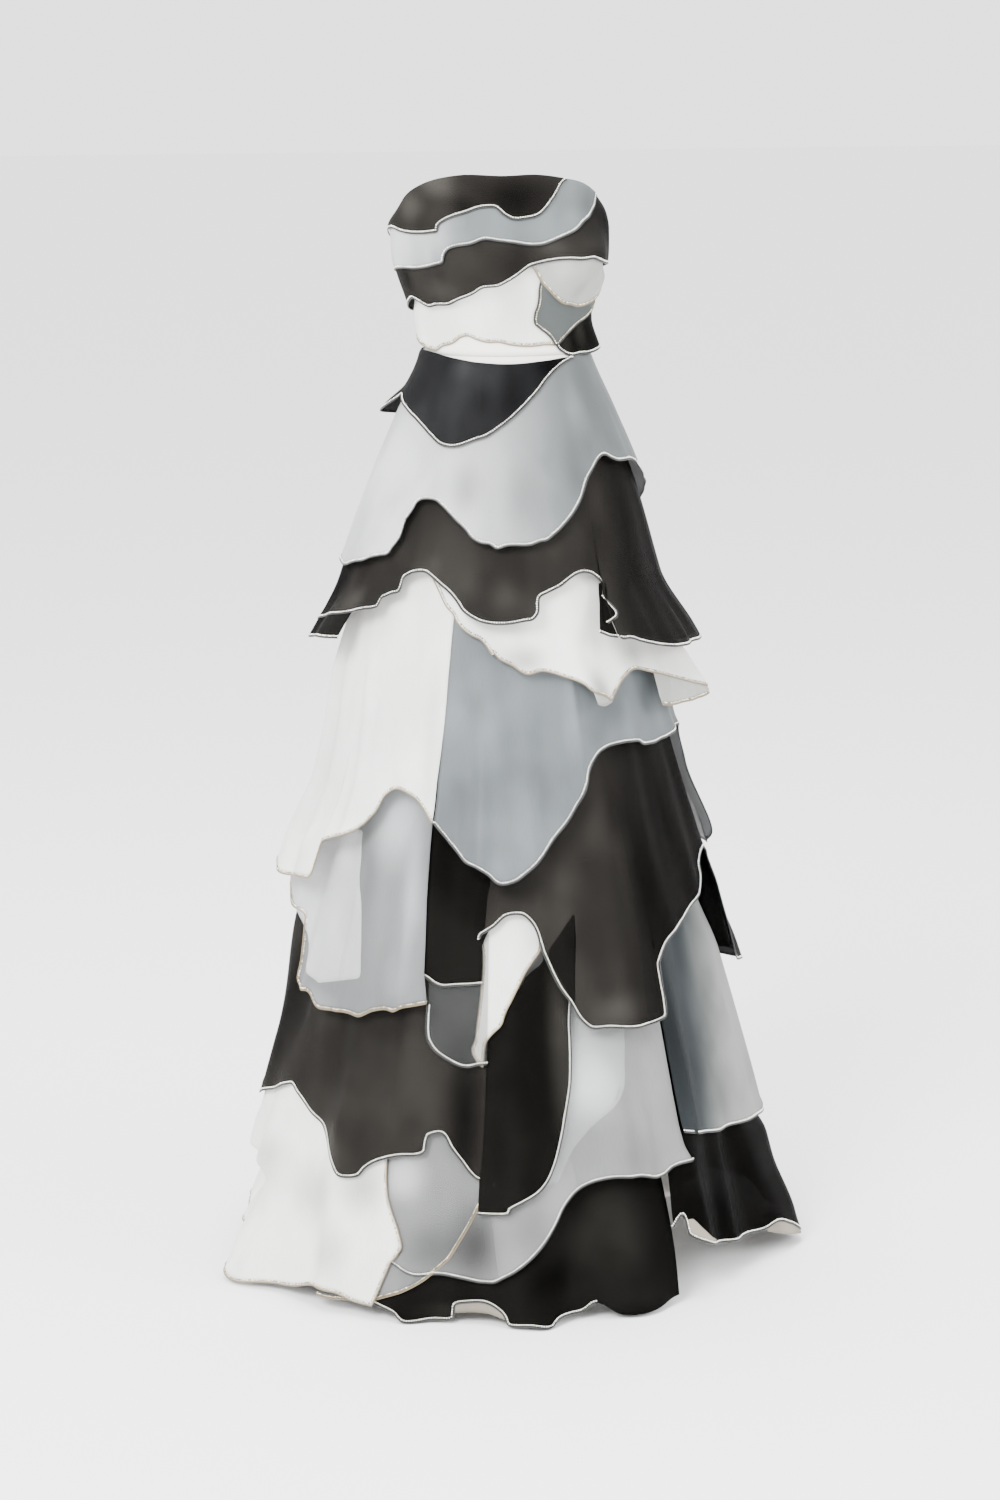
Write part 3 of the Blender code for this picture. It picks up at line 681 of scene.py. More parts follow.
def addLayer(name, piece, top, off, radius):
    closed = piece.get("closed", False)
    edgeTurn, edgeHeight = finePath(piece)
    edgeHeight = np.minimum(edgeHeight, top(edgeTurn) - cloth["seamGap"])
    turn = columnTurns(edgeTurn, edgeHeight, radius, closed)
    low = np.interp(turn, edgeTurn, edgeHeight)
    high = top(turn)
    rows = int((high - low).max() / cloth["row"]) + 2
    height = high[:, None] + (low - high)[:, None] * np.linspace(0, 1, rows + 1)[None, :]
    turn = slant(piece, np.broadcast_to(turn[:, None], height.shape), height)
    path = trimPath(piece, edgeTurn, edgeHeight)
    ringed = closed and "trimGap" not in piece
    addCloth(name, nodeOf(name, piece), piece, turn, height, off, path, closed, ringed)


# bodice, from the top layer down. "level" counts the layers up from the foundation, and a layer without "top"
# starts at the neckline. "turn" and "height" are the marks of the free edge. The spots are darker and lighter
# places, partly painted shade and painted highlight on folds and sheen and partly the cloth's own tone, as
# (turn, height, half width, half height, amount). "flares" are places that stand out more, as (turn, half
# width, out, height where it begins, length). "left" and "right" are slanted sides as (height, turn).
bodice = {
    "bodiceBlackTop": {
        "finish": "blackOrganza", "chain": "silver", "level": 6,
        "paintedLightAndToneSpots": ((-48, 0.202, 18, 0.024, 1.5), (-68, 0.176, 16, 0.026, 1.1), (-34, 0.176, 12, 0.018, -0.5),
                  (-6, 0.185, 42, 0.06, -0.82)),
        "turn": (-180, -140, -100, -82.6, -77.5, -60.7, -52, -47.7, -47.3, -46.1, -32, -22.2, -15.1, -13.9,
                 -8.5, -0.1, 6.2, 17.6, 21.8, 24.9),
        "height": (0.098, 0.11, 0.145, 0.148, 0.146, 0.144, 0.146, 0.149, 0.155, 0.157, 0.169, 0.175, 0.173,
                   0.17, 0.162, 0.162, 0.165, 0.188, 0.201, 0.206)},
    "bodiceGreyUpper": {
        "finish": "greyShaded", "chain": "silver", "level": 5,
        "flares": ((-105, 36, 0.005, 0.145, 0.04), (72, 34, 0.004, 0.19, 0.03)),
        "paintedLightAndToneSpots": ((45, 0.17, 13, 0.035, -0.3), (26, 0.16, 9, 0.02, 0.25)),
        "turn": (-180, -140, -108, -80.7, -73.4, -50.7, -47.1, -45.6, -45.1, -28.3, -25.1, -14.7, 8.2, 16.8,
                 28.2, 33, 44.4, 53.5, 53.8),
        "height": (0.066, 0.08, 0.096, 0.102, 0.102, 0.109, 0.111, 0.113, 0.117, 0.135, 0.138, 0.136, 0.132,
                   0.139, 0.149, 0.155, 0.165, 0.185, 0.19)},
    "bodiceBlackMiddle": {
        "finish": "blackOrganza", "chain": "silver", "level": 4, "closed": True,
        "flares": ((-105, 36, 0.006, 0.13, 0.03), (72, 34, 0.004, 0.19, 0.03)),
        "paintedLightAndToneSpots": ((-54, 0.076, 18, 0.024, 0.8), (-84, 0.09, 10, 0.03, -0.6), (-14, 0.11, 18, 0.04, -0.35),
                  (12, 0.128, 12, 0.016, 0.5), (40, 0.13, 14, 0.018, 0.6), (66, 0.15, 14, 0.07, -0.85)),
        "turn": (-180, -140, -112, -92, -86, -80, -68.5, -63.6, -49.4, -45.9, -31.1, -28.2, -18.4, -9.8, 0.9,
                 6.2, 19.6, 26.8, 33.7, 40.4, 60, 71, 110, 145),
        "height": (0.03, 0.044, 0.05, 0.062, 0.066, 0.063, 0.057, 0.059, 0.062, 0.065, 0.077, 0.081, 0.084,
                   0.093, 0.107, 0.11, 0.114, 0.113, 0.114, 0.11, 0.105, 0.104, 0.085, 0.05)},
    "bodiceWhiteCup": {
        "finish": "ivoryCup", "chain": "cream", "level": 3, "top": 0.128,
        "flares": ((72, 34, 0.007, 0.104, 0.02),),
        "paintedLightAndToneSpots": ((34, 0.075, 9, 0.02, -0.22), (18, 0.1, 9, 0.02, 0.15)),
        "turn": (1.4, 7.2, 13.1, 27.6, 32.3, 40, 60, 71, 95, 120),
        "height": (0.107, 0.088, 0.077, 0.06, 0.059, 0.056, 0.061, 0.069, 0.072, 0.08)},
    "bodiceGreySide": {
        "finish": "greySide", "chain": "creamOnBlack", "level": 2, "top": 0.112, "trimLeft": 0.087,
        "left": ((0.044, 5.2), (0.052, 5.9), (0.057, 7.1), (0.063, 7.7), (0.07, 7.7), (0.078, 7.1),
                 (0.088, 7.3), (0.112, 7.0)),
        "flares": ((72, 34, 0.007, 0.082, 0.025),), "paintedLightAndToneSpots": ((8, 0.085, 6, 0.02, 0.35),),
        "turn": (5.1, 5.5, 7.9, 18.1, 20.2, 24.7, 29.7, 44.8, 56, 73, 80),
        "height": (0.046, 0.038, 0.034, 0.018, 0.012, 0.015, 0.021, 0.035, 0.042, 0.062, 0.08)},
    "bodiceWhiteFront": {
        "finish": "whiteOrganza", "chain": "cream", "level": 1, "top": 0.108,
        "flares": ((-102, 38, 0.008, 0.072, 0.03),), "paintedLightAndToneSpots": ((-8, 0.07, 20, 0.05, -0.16),),
        "turn": (-180, -140, -112, -100, -92, -77, -70.9, -67.7, -54.1, -48.3, -41.3, -37.2, -28.3, -19.4,
                 -15.1, 6, 12.1, 21.1),
        "height": (0.012, 0.018, 0.017, 0.017, 0.012, 0.006, 0.006, 0.009, 0.016, 0.022, 0.024, 0.021, 0.017,
                   0.017, 0.015, 0.012, 0.013, 0.012)},
    "bodiceBlackSide": {
        "finish": "blackDense", "chain": "silver", "level": 1, "top": 0.1,
        "flares": ((72, 34, 0.007, 0.075, 0.03), (72, 30, 0.006, 0.04, 0.035)),
        "paintedLightAndToneSpots": ((30, 0.012, 10, 0.03, 1.6), (48, 0.03, 9, 0.04, 3.0)),
        "turn": (21.5, 23.3, 26.4, 37.1, 42.4, 52, 71, 100, 179),
        "height": (0.012, 0.007, 0.003, -0.002, -0.001, -0.001, 0.004, 0.008, 0.014)},
}

# how far the bodice layers stand apart, and where the upper ones close in under the neckline
bodiceStep = {"gap": 0.0003, "step": 0.0022, "dropFrom": 0.145, "dropLength": 0.035, "dropLevels": 3,
              "upper": 3}


def standOut(piece, turn, height):
    out = 0 * turn + 0 * height
    for middle, wide, more, start, length in piece.get("flares", ()):
        out = out + more * swell(turnFrom(turn, middle) / wide) * ease((start - height) / length)
    return out


def bodiceOff(piece):
    level = piece["level"]

    def off(turn, height):
        closer = ease((height - bodiceStep["dropFrom"]) / bodiceStep["dropLength"])
        drop = bodiceStep["dropLevels"] * closer if level > bodiceStep["upper"] else 0 * height
        return bodiceStep["gap"] + (level - 1 - drop) * bodiceStep["step"] + standOut(piece, turn, height)
    return off


# skirt, from the waist down. "seam" is the height where a layer is sewn on, "base" how far it stands out
# there, "slope" how fast it stands away below that, "flare" what it gains over "flareLength" below
# "flareFrom", and "ripple" the depth of its own waves at the edge. "creases" are its own folds as (turn, half
# width, depth, height where each begins). The chain ends at the turn "trimTo", leaves out the turns in
# "trimGap", and goes on up a side to the height "trimLeft" or "trimRight".
skirt = {
    "yokeBlack": {
        "finish": "blackYoke", "chain": "silver", "seam": 0.0, "slope": 0.13, "base": 0.0019,
        "ripple": 0.0008, "flares": ((-105, 36, 0.0035, 0.01, 0.012), (-120, 26, 0.017, -0.034, 0.035)),
        "paintedLightAndToneSpots": ((-46, -0.012, 13, 0.022, 0.5), (-30, -0.048, 12, 0.026, -0.4),
                  (-14, -0.046, 14, 0.05, -0.45), (14, -0.012, 18, 0.024, -0.7)),
        "turn": (-178, -152, -130, -114, -103, -97, -90, -64.7, -54.4, -50.6, -42.9, -30.6, -26.8, -18.9,
                 -0.7, 9.6, 20.6, 33.4),
        "height": (-0.09, -0.082, -0.078, -0.071, -0.058, -0.05, -0.056, -0.078, -0.092, -0.098, -0.102,
                   -0.093, -0.09, -0.078, -0.044, -0.025, -0.012, -0.004)},
    "yokeGrey": {
        "finish": "greyYoke", "chain": "silver", "seam": 0.0, "closed": True, "ripple": 0.0015,
        "paintedLightAndToneSpots": ((-34, -0.15, 10, 0.045, -0.36), (-10, -0.16, 12, 0.06, -0.26), (14, -0.13, 9, 0.06, -0.24),
                  (24, -0.06, 10, 0.05, 0.4)),
        "turn": (-180, -140, -110, -95, -82, -77.2, -71.6, -67.2, -63.7, -62.3, -59.4, -58.9, -59, -57.6,
                 -55.7, -54.9, -48.7, -46.1, -43.4, -36.8, -32, -30.3, -25.5, -22.9, -20.3, -16.9, -7.3, -4.1,
                 -1.5, 1.3, 14.7, 21.3, 24.5, 32.7, 39.4, 60, 68, 80, 110, 145),
        "height": (-0.19, -0.215, -0.243, -0.251, -0.242, -0.239, -0.233, -0.23, -0.227, -0.22, -0.206,
                   -0.197, -0.189, -0.183, -0.173, -0.167, -0.162, -0.163, -0.168, -0.184, -0.196, -0.202,
                   -0.21, -0.211, -0.216, -0.213, -0.212, -0.209, -0.208, -0.202, -0.164, -0.136, -0.129,
                   -0.116, -0.123, -0.13, -0.144, -0.16, -0.205, -0.2)},
    "hipBlack": {
        "finish": "blackOrganza", "chain": "silver", "seam": -0.09, "closed": True, "flare": 0.028,
        "flareFrom": -0.262, "flareLength": 0.09, "ripple": 0.003,
        "flares": ((-110, 24, 0.008, -0.215, 0.035), (-110, 24, -0.016, -0.262, 0.07)),
        "trimGap": (20.45, 21.2),
        "paintedLightAndToneSpots": ((-80, -0.285, 9, 0.022, 0.8), (-102, -0.275, 19, 0.07, -0.85), (-46, -0.238, 8, 0.02, 0.35),
                  (-17, -0.272, 9, 0.03, 0.9), (-29, -0.262, 6, 0.03, 0.35), (-46, -0.3, 12, 0.02, -0.2),
                  (20, -0.21, 12, 0.07, -0.45)),
        "turn": (-180, -145, -118, -100, -88.6, -81.5, -70.9, -66.6, -64.6, -65, -62.9, -60, -57.1, -56.3,
                 -54.4, -47.4, -40.1, -33.7, -31.4, -26.4, -20.4, -10.7, -7.4, -5.8, -4, -1.5, 3.9, 6.6, 13.7,
                 16.7, 19, 20.5, 20.5, 20.1, 20.1, 20.2, 21.5, 24.9, 28.7, 51.7, 60.7, 70, 90, 120, 150),
        "height": (-0.3, -0.325, -0.332, -0.317, -0.307, -0.303, -0.294, -0.291, -0.288, -0.28, -0.277,
                   -0.273, -0.27, -0.254, -0.25, -0.246, -0.26, -0.277, -0.286, -0.296, -0.301, -0.298,
                   -0.296, -0.291, -0.272, -0.269, -0.261, -0.255, -0.248, -0.25, -0.255, -0.261, -0.271,
                   -0.277, -0.307, -0.315, -0.323, -0.324, -0.329, -0.345, -0.345, -0.347, -0.34, -0.318,
                   -0.33)},
    "hipWhite": {
        "finish": "whiteOrganza", "chain": "cream", "seam": -0.205, "slope": 0.16, "flare": 0.014,
        "flareFrom": -0.35, "flareLength": 0.06, "ripple": 0.003, "flares": ((72, 26, 0.014, -0.335, 0.03),),
        "paintedLightAndToneSpots": ((-10, -0.345, 12, 0.026, -0.5), (15, -0.384, 6, 0.036, -0.6),
                  (32, -0.352, 12, 0.024, -0.35)),
        "turn": (-49, -42.7, -37.9, -35.6, -33.8, -28, -25, -22.5, -20.6, -20.7, -18.2, -14.2, -9.4, -4.1,
                 2.9, 9.2, 11.2, 16.1, 17.5, 19.5, 30.2, 41.5, 63.4, 71, 85, 100, 135, 178),
        "height": (-0.24, -0.266, -0.287, -0.293, -0.302, -0.317, -0.321, -0.329, -0.338, -0.335, -0.343,
                   -0.35, -0.36, -0.358, -0.365, -0.375, -0.382, -0.391, -0.395, -0.389, -0.366, -0.374,
                   -0.399, -0.407, -0.405, -0.395, -0.38, -0.39)},
    "thighWhite": {
        "finish": "whiteOrganza", "chain": "cream", "seam": -0.235, "flare": 0.014, "flareFrom": -0.5,
        "flareLength": 0.1, "ripple": 0.0035,
        "right": ((-0.531, -39.1), (-0.485, -38.9), (-0.439, -38.0), (-0.393, -36.8), (-0.347, -35.9),
                  (-0.235, -35.2)),
        "flares": ((-105, 24, 0.005, -0.32, 0.08),),
        "creases": ((-86, 6, 0.004, -0.33), (-70, 5, 0.005, -0.33), (-52, 6, 0.004, -0.4)),
        "paintedLightAndToneSpots": ((-90, -0.52, 14, 0.11, -0.14), (-41, -0.44, 5, 0.12, -0.2)),
        "turn": (-179.8, -150, -120, -104, -94, -85.9, -79.1, -77.9, -77.7, -77.8, -73.6, -68.8, -58.1, -56,
                 -52.4, -47.2, -42.4, -39.1),
        "height": (-0.57, -0.59, -0.612, -0.62, -0.626, -0.62, -0.615, -0.598, -0.586, -0.574, -0.565, -0.559,
                   -0.525, -0.507, -0.498, -0.504, -0.517, -0.532)},
    "thighGrey": {
        "finish": "greyOrganza", "chain": "silver", "seam": -0.235, "flare": 0.014, "flareFrom": -0.5,
        "flareLength": 0.1, "ripple": 0.0035,
        "left": ((-0.531, -39.0), (-0.485, -38.8), (-0.439, -37.9), (-0.393, -36.7), (-0.347, -35.8),
                 (-0.235, -35.1)),
        "flares": ((84, 30, -0.015, -0.385, 0.06),),
        "creases": ((-25, 3.5, 0.005, -0.42), (-10, 5, 0.003, -0.35), (6.5, 3, 0.005, -0.33),
                    (22, 4, 0.003, -0.4)),
        # its lighter and darker strips are painted highlight and painted shade along its folds
        "paintedLightAndToneSpots": ((-35, -0.4, 8, 0.05, 0.25), (-32, -0.5, 6, 0.08, -0.16), (-22, -0.44, 6, 0.08, 0.22),
                  (-8, -0.48, 7, 0.09, -0.12), (6, -0.43, 5, 0.07, 0.3), (22, -0.42, 7, 0.05, -0.15),
                  (48, -0.43, 8, 0.04, 0.22), (-19, -0.58, 8, 0.03, 0.25)),
        "turn": (-39, -31.5, -28.9, -26, -23.6, -20.1, -15.5, -13.1, -6.4, 4.8, 7.7, 8.9, 12.9, 17.2, 26.3,
                 30.1, 32, 37.7, 46.2, 56.2, 64, 70, 73, 76, 80, 86, 94, 115, 145, 179.8),
        "height": (-0.533, -0.565, -0.575, -0.579, -0.585, -0.597, -0.593, -0.585, -0.557, -0.511, -0.489,
                   -0.477, -0.459, -0.453, -0.45, -0.451, -0.455, -0.458, -0.457, -0.455, -0.452, -0.455,
                   -0.5, -0.56, -0.602, -0.616, -0.62, -0.622, -0.6, -0.57)},
    "kneeWhite": {
        "finish": "whiteKnee", "chain": "cream", "seam": -0.4, "ripple": 0.003,
        "right": ((-0.741, -38.4), (-0.708, -39.7), (-0.674, -40.1), (-0.623, -40.9), (-0.572, -41.2),
                  (-0.4, -41.3)),
        "flares": ((-108, 16, 0.02, -0.56, 0.07),),
        "creases": ((-66, 2.5, 0.003, -0.56), (-47, 3, 0.003, -0.6)),
        "paintedLightAndToneSpots": ((-54, -0.545, 15, 0.07, 1.3), (-46, -0.62, 6, 0.09, 0.9), (-62, -0.63, 6, 0.09, -0.12),
                  (-47, -0.71, 7, 0.06, 0.5), (-76, -0.765, 14, 0.022, 0.5)),
        "turn": (-179.8, -150, -122, -110, -104, -99, -93.2, -92.1, -90.4, -89.1, -83.5, -80.8, -75.5, -68.1,
                 -59.2, -56.8, -53.1, -50.8, -48.4, -44.6, -38.4),
        "height": (-0.72, -0.7, -0.672, -0.64, -0.65, -0.67, -0.677, -0.693, -0.728, -0.756, -0.759, -0.757,
                   -0.769, -0.769, -0.764, -0.765, -0.757, -0.755, -0.756, -0.748, -0.741)},
    "kneeBlack": {
        "finish": "blackOrganza", "chain": "silver", "seam": -0.4, "ripple": 0.003,
        "left": ((-0.673, -25.0), (-0.653, -23.2), (-0.622, -22.7), (-0.605, -21.9), (-0.4, -21.5)),
        "flares": ((95, 28, 0.017, -0.585, 0.04), (95, 28, 0.014, -0.66, 0.11)),
        "paintedLightAndToneSpots": ((0, -0.62, 8, 0.06, 0.35), (13, -0.755, 11, 0.03, 1.1), (27, -0.62, 9, 0.13, -0.6),
                  (44, -0.56, 16, 0.11, -0.6), (20, -0.52, 7, 0.06, -0.3)),
        "turn": (-25.3, -25.2, -23.8, -21.7, -17.6, -13.5, -11.9, -8.1, -3.6, -2.1, 1.5, 3.3, 6.9, 22, 24.3,
                 24.9, 25, 25.1, 25.6, 28.3, 41.7, 49.2, 60.5, 61.7, 68, 73, 76, 79, 83, 90, 118, 148, 179.8),
        "height": (-0.667, -0.663, -0.659, -0.653, -0.639, -0.639, -0.645, -0.687, -0.73, -0.739, -0.766,
                   -0.773, -0.773, -0.776, -0.771, -0.76, -0.742, -0.725, -0.708, -0.693, -0.671, -0.661,
                   -0.634, -0.62, -0.606, -0.62, -0.67, -0.727, -0.764, -0.774, -0.778, -0.755, -0.735)},
    "kneeBlackInner": {
        "finish": "blackDense", "chain": "silver", "seam": -0.425, "ripple": 0.0,
        "left": ((-0.712, -39.9), (-0.674, -40.5), (-0.624, -41.3), (-0.573, -41.7), (-0.425, -41.9)),
        "right": ((-0.72, -24.8), (-0.675, -24.9), (-0.65, -22.0), (-0.6, -18.0), (-0.425, -17.0)),
        "turn": (-39.9, -35.2, -32, -24.8), "height": (-0.712, -0.724, -0.723, -0.72)},
    "kneeSmoke": {
        "node": "knee_grey", "finish": "smokeOrganza", "chain": "silver", "seam": -0.45, "ripple": 0.001,
        "turn": (-38.7, -38.6, -37.9, -35.9, -33.1, -27.3, -25.9, -23),
        "height": (-0.745, -0.766, -0.784, -0.797, -0.806, -0.815, -0.813, -0.81)},
    "calfBlack": {
        "finish": "blackOrganza", "chain": "silver", "seam": -0.525, "ripple": 0.003, "trimTo": -24.8,
        "flares": ((-108, 16, 0.018, -0.62, 0.05), (-108, 16, -0.017, -0.68, 0.16)),
        "paintedLightAndToneSpots": ((-63, -0.925, 8, 0.036, 1.3), (-72, -0.86, 11, 0.06, 0.15), (-99, -0.8, 15, 0.17, -0.62),
                  (-28, -0.88, 9, 0.13, -0.8)),
        "turn": (-179.8, -150, -120, -106, -101.2, -97.4, -92, -84.7, -81.7, -78.2, -71.5, -67.9, -65.6, -60,
                 -57.1, -52.9, -51.8, -43.1, -37.2, -35.9, -34.2, -30.9, -29, -24.9, -21),
        "height": (-0.88, -0.905, -0.915, -0.912, -0.908, -0.9, -0.891, -0.876, -0.872, -0.878, -0.896,
                   -0.904, -0.915, -0.94, -0.953, -0.95, -0.942, -0.92, -0.914, -0.893, -0.891, -0.91, -0.922,
                   -0.944, -0.948)},
    "calfWhite": {
        "finish": "whiteOrganza", "chain": "cream", "seam": -0.555, "ripple": 0.0025, "trimRight": -0.93,
        "right": ((-1.094, -46.0), (-1.059, -44.0), (-1.043, -43.0), (-1.036, -41.9), (-1.024, -40.6),
                  (-1.016, -41.0), (-1.002, -42.1), (-0.986, -43.8), (-0.97, -45.3), (-0.95, -46.2),
                  (-0.929, -46.6), (-0.555, -46.8)),
        "flares": ((-100, 30, 0.003, -0.918, 0.025), (-106, 36, -0.046, -0.97, 0.026),
                   (-106, 36, 0.024, -1.0, 0.072)),
        "creases": ((-72, 5, 0.005, -0.93), (-58, 4, 0.004, -0.95)),
        "paintedLightAndToneSpots": ((-52, -0.965, 9, 0.05, -0.48), (-66, -0.985, 10, 0.06, -0.36),
                  (-58, -1.045, 7, 0.045, -0.3), (-84, -0.96, 9, 0.04, -0.3)),
        "turn": (-179.8, -145, -115, -98, -88, -81.7, -76.2, -69.2, -59, -54.5, -50.6, -46),
        "height": (-1.05, -1.072, -1.08, -1.078, -1.098, -1.107, -1.103, -1.099, -1.085, -1.087, -1.094,
                   -1.094)},
    "calfPale": {
        "finish": "whitePale", "chain": "silver", "seam": -0.585, "ripple": 0.002,
        "left": ((-1.044, -43.3), (-1.02, -46.0), (-0.585, -50.0)),
        "right": ((-0.947, 28.2), (-0.928, 26.9), (-0.906, 26.5), (-0.87, 26.5), (-0.83, 26.7),
                  (-0.585, 27.4)),
        "creases": ((-21, 2.5, 0.004, -0.94), (10, 4, 0.003, -0.8), (17, 3, 0.003, -0.85)),
        "paintedLightAndToneSpots": ((-42, -0.945, 8, 0.04, 1.6), (-34, -1.025, 12, 0.06, -0.55), (-25, -1.02, 9, 0.08, -0.78),
                  (-14, -0.995, 9, 0.06, -0.45), (3, -0.83, 9, 0.07, 0.5), (14, -0.925, 8, 0.04, -0.15)),
        "turn": (-43.3, -36.6, -33.6, -27, -23.8, -21.4, -19, -7.5, -5.5, 0.1, 7.4, 11.8, 20.7, 22.7, 28.2),
        "height": (-1.044, -1.055, -1.054, -1.059, -1.062, -1.06, -1.053, -0.993, -0.978, -0.956, -0.949,
                   -0.951, -0.957, -0.951, -0.947)},
    "calfGrey": {
        "finish": "greyDeep", "chain": "silver", "seam": -0.61, "ripple": 0.0025,
        "left": ((-0.916, 27.1), (-0.906, 26.7), (-0.87, 26.7), (-0.83, 26.9), (-0.61, 27.5)),
        "flares": ((75, 30, 0.009, -0.66, 0.08),),
        "paintedLightAndToneSpots": ((32, -0.82, 16, 0.16, -0.5), (46, -0.93, 10, 0.04, 0.25)),
        "turn": (28.3, 36.3, 54.3, 62.2, 70, 80, 95, 120, 150, 179.5),
        "height": (-0.915, -0.926, -0.939, -0.94, -0.944, -0.93, -0.935, -0.955, -0.93, -0.9)},
    "calfSide": {
        "finish": "blackDense", "chain": "silver", "seam": -0.64, "ripple": 0.0025,
        "left": ((-1.05, 21.4), (-1.012, 22.0), (-0.969, 22.7), (-0.64, 23.5)),
        "flares": ((75, 30, 0.012, -0.935, 0.04), (75, 30, 0.009, -1.0, 0.07)),
        # its wide darker spot is painted shade that dims the sheen of the black
        "paintedLightAndToneSpots": ((36, -1.0, 22, 0.09, -0.8),),
        "turn": (21.6, 24.2, 24.6, 24.8, 28.4, 50.5, 56.5, 60.4, 65.3, 71, 82, 105, 135, 179.5),
        "height": (-1.021, -1.009, -1.015, -1.032, -1.044, -1.07, -1.073, -1.069, -1.08, -1.098, -1.092,
                   -1.074, -1.084, -1.07)},
    "hemBlack": {
        "finish": "blackDense", "chain": "silver", "seam": -0.78, "slope": 0.1, "flare": 0.027,
        "flareFrom": -0.9, "flareLength": 0.2, "ripple": 0.002, "trimTo": 0.6,
        "flares": ((-106, 38, -0.04, -0.89, 0.07), (-106, 38, 0.012, -1.03, 0.06)),
        "paintedLightAndToneSpots": ((-9, -1.055, 9, 0.035, -0.75), (7, -1.01, 14, 0.08, 1.4), (-33, -1.098, 8, 0.016, 1.4),
                  (10, -1.09, 9, 0.024, 0.6)),
        "right": ((-1.099, 20.4), (-1.05, 21.3), (-1.012, 21.9), (-0.969, 22.5), (-0.78, 23.5)),
        "turn": (-179.5, -150, -120, -95, -75, -58, -49, -45.7, -41.1, -39.6, -33.9, -29.6, -29.1, -26.1,
                 -22.9, -19, -18.1, -13.8, -9.3, -8.3, -2.3, 0.4, 5.6, 11.6, 20.4),
        "height": (-1.08, -1.094, -1.086, -1.097, -1.098, -1.086, -1.09, -1.095, -1.102, -1.108, -1.107,
                   -1.105, -1.089, -1.086, -1.086, -1.097, -1.107, -1.106, -1.108, -1.103, -1.1, -1.091,
                   -1.106, -1.106, -1.099)},
}

# two tongues at the centre front: the turns of their sides at the heights "down". The chain begins at the
# height "trimFrom" and goes round the tip, or up the side that "trimSide" names.
tongues = {
    "tongueWhite": {
        "finish": "whiteOrganza", "chain": "cream", "seam": -0.475, "trimFrom": -0.64,
        "down": (-0.475, -0.56, -0.64, -0.67, -0.684, -0.693, -0.705, -0.72, -0.737, -0.751, -0.767, -0.776,
                 -0.785, -0.796, -0.807, -0.815),
        "left": (-26, -26, -26, -25.4, -24.7, -24.6, -24.6, -24.9, -25.1, -25.4, -25.8, -26.0, -26.2, -27.0,
                 -26.0, -24.3),
        "right": (-6, -6, -7, -8.4, -8.9, -10.7, -12.9, -14.9, -16.9, -18.5, -19.8, -21.7, -23.2, -23.8,
                  -23.9, -24.1)},
    "tongueBlack": {
        "finish": "blackDense", "chain": "silver", "seam": -0.5, "trimFrom": -0.648, "trimSide": "right",
        "down": (-0.647, -0.658, -0.67, -0.677, -0.698, -0.711, -0.722, -0.733, -0.754, -0.767, -0.786,
                 -0.812, -0.839, -0.872, -0.903, -0.928, -0.944, -0.955, -0.963, -0.972, -0.981, -0.983),
        "paintedLightAndToneSpots": ((-4, -0.79, 5.5, 0.17, 5.0), (-20, -0.9, 5, 0.09, -0.3)),
        "left": (2.3, -0.3, -3.9, -6.9, -8.4, -12.8, -14.3, -16.8, -18.2, -19.8, -23.2, -23.3, -23.3, -23.5,
                 -23.7, -24.1, -24.5, -24.5, -24.6, -24.6, -24.6, -24.6),
        "right": (3.0, 2.7, 2.4, 2.1, 1.4, 0.9, 0.5, 0.2, -0.8, -1.2, -1.4, -1.7, -2.4, -4.1, -5.8, -7.7,
                  -9.6, -11.8, -14.3, -17.4, -20.6, -24.3)},
}

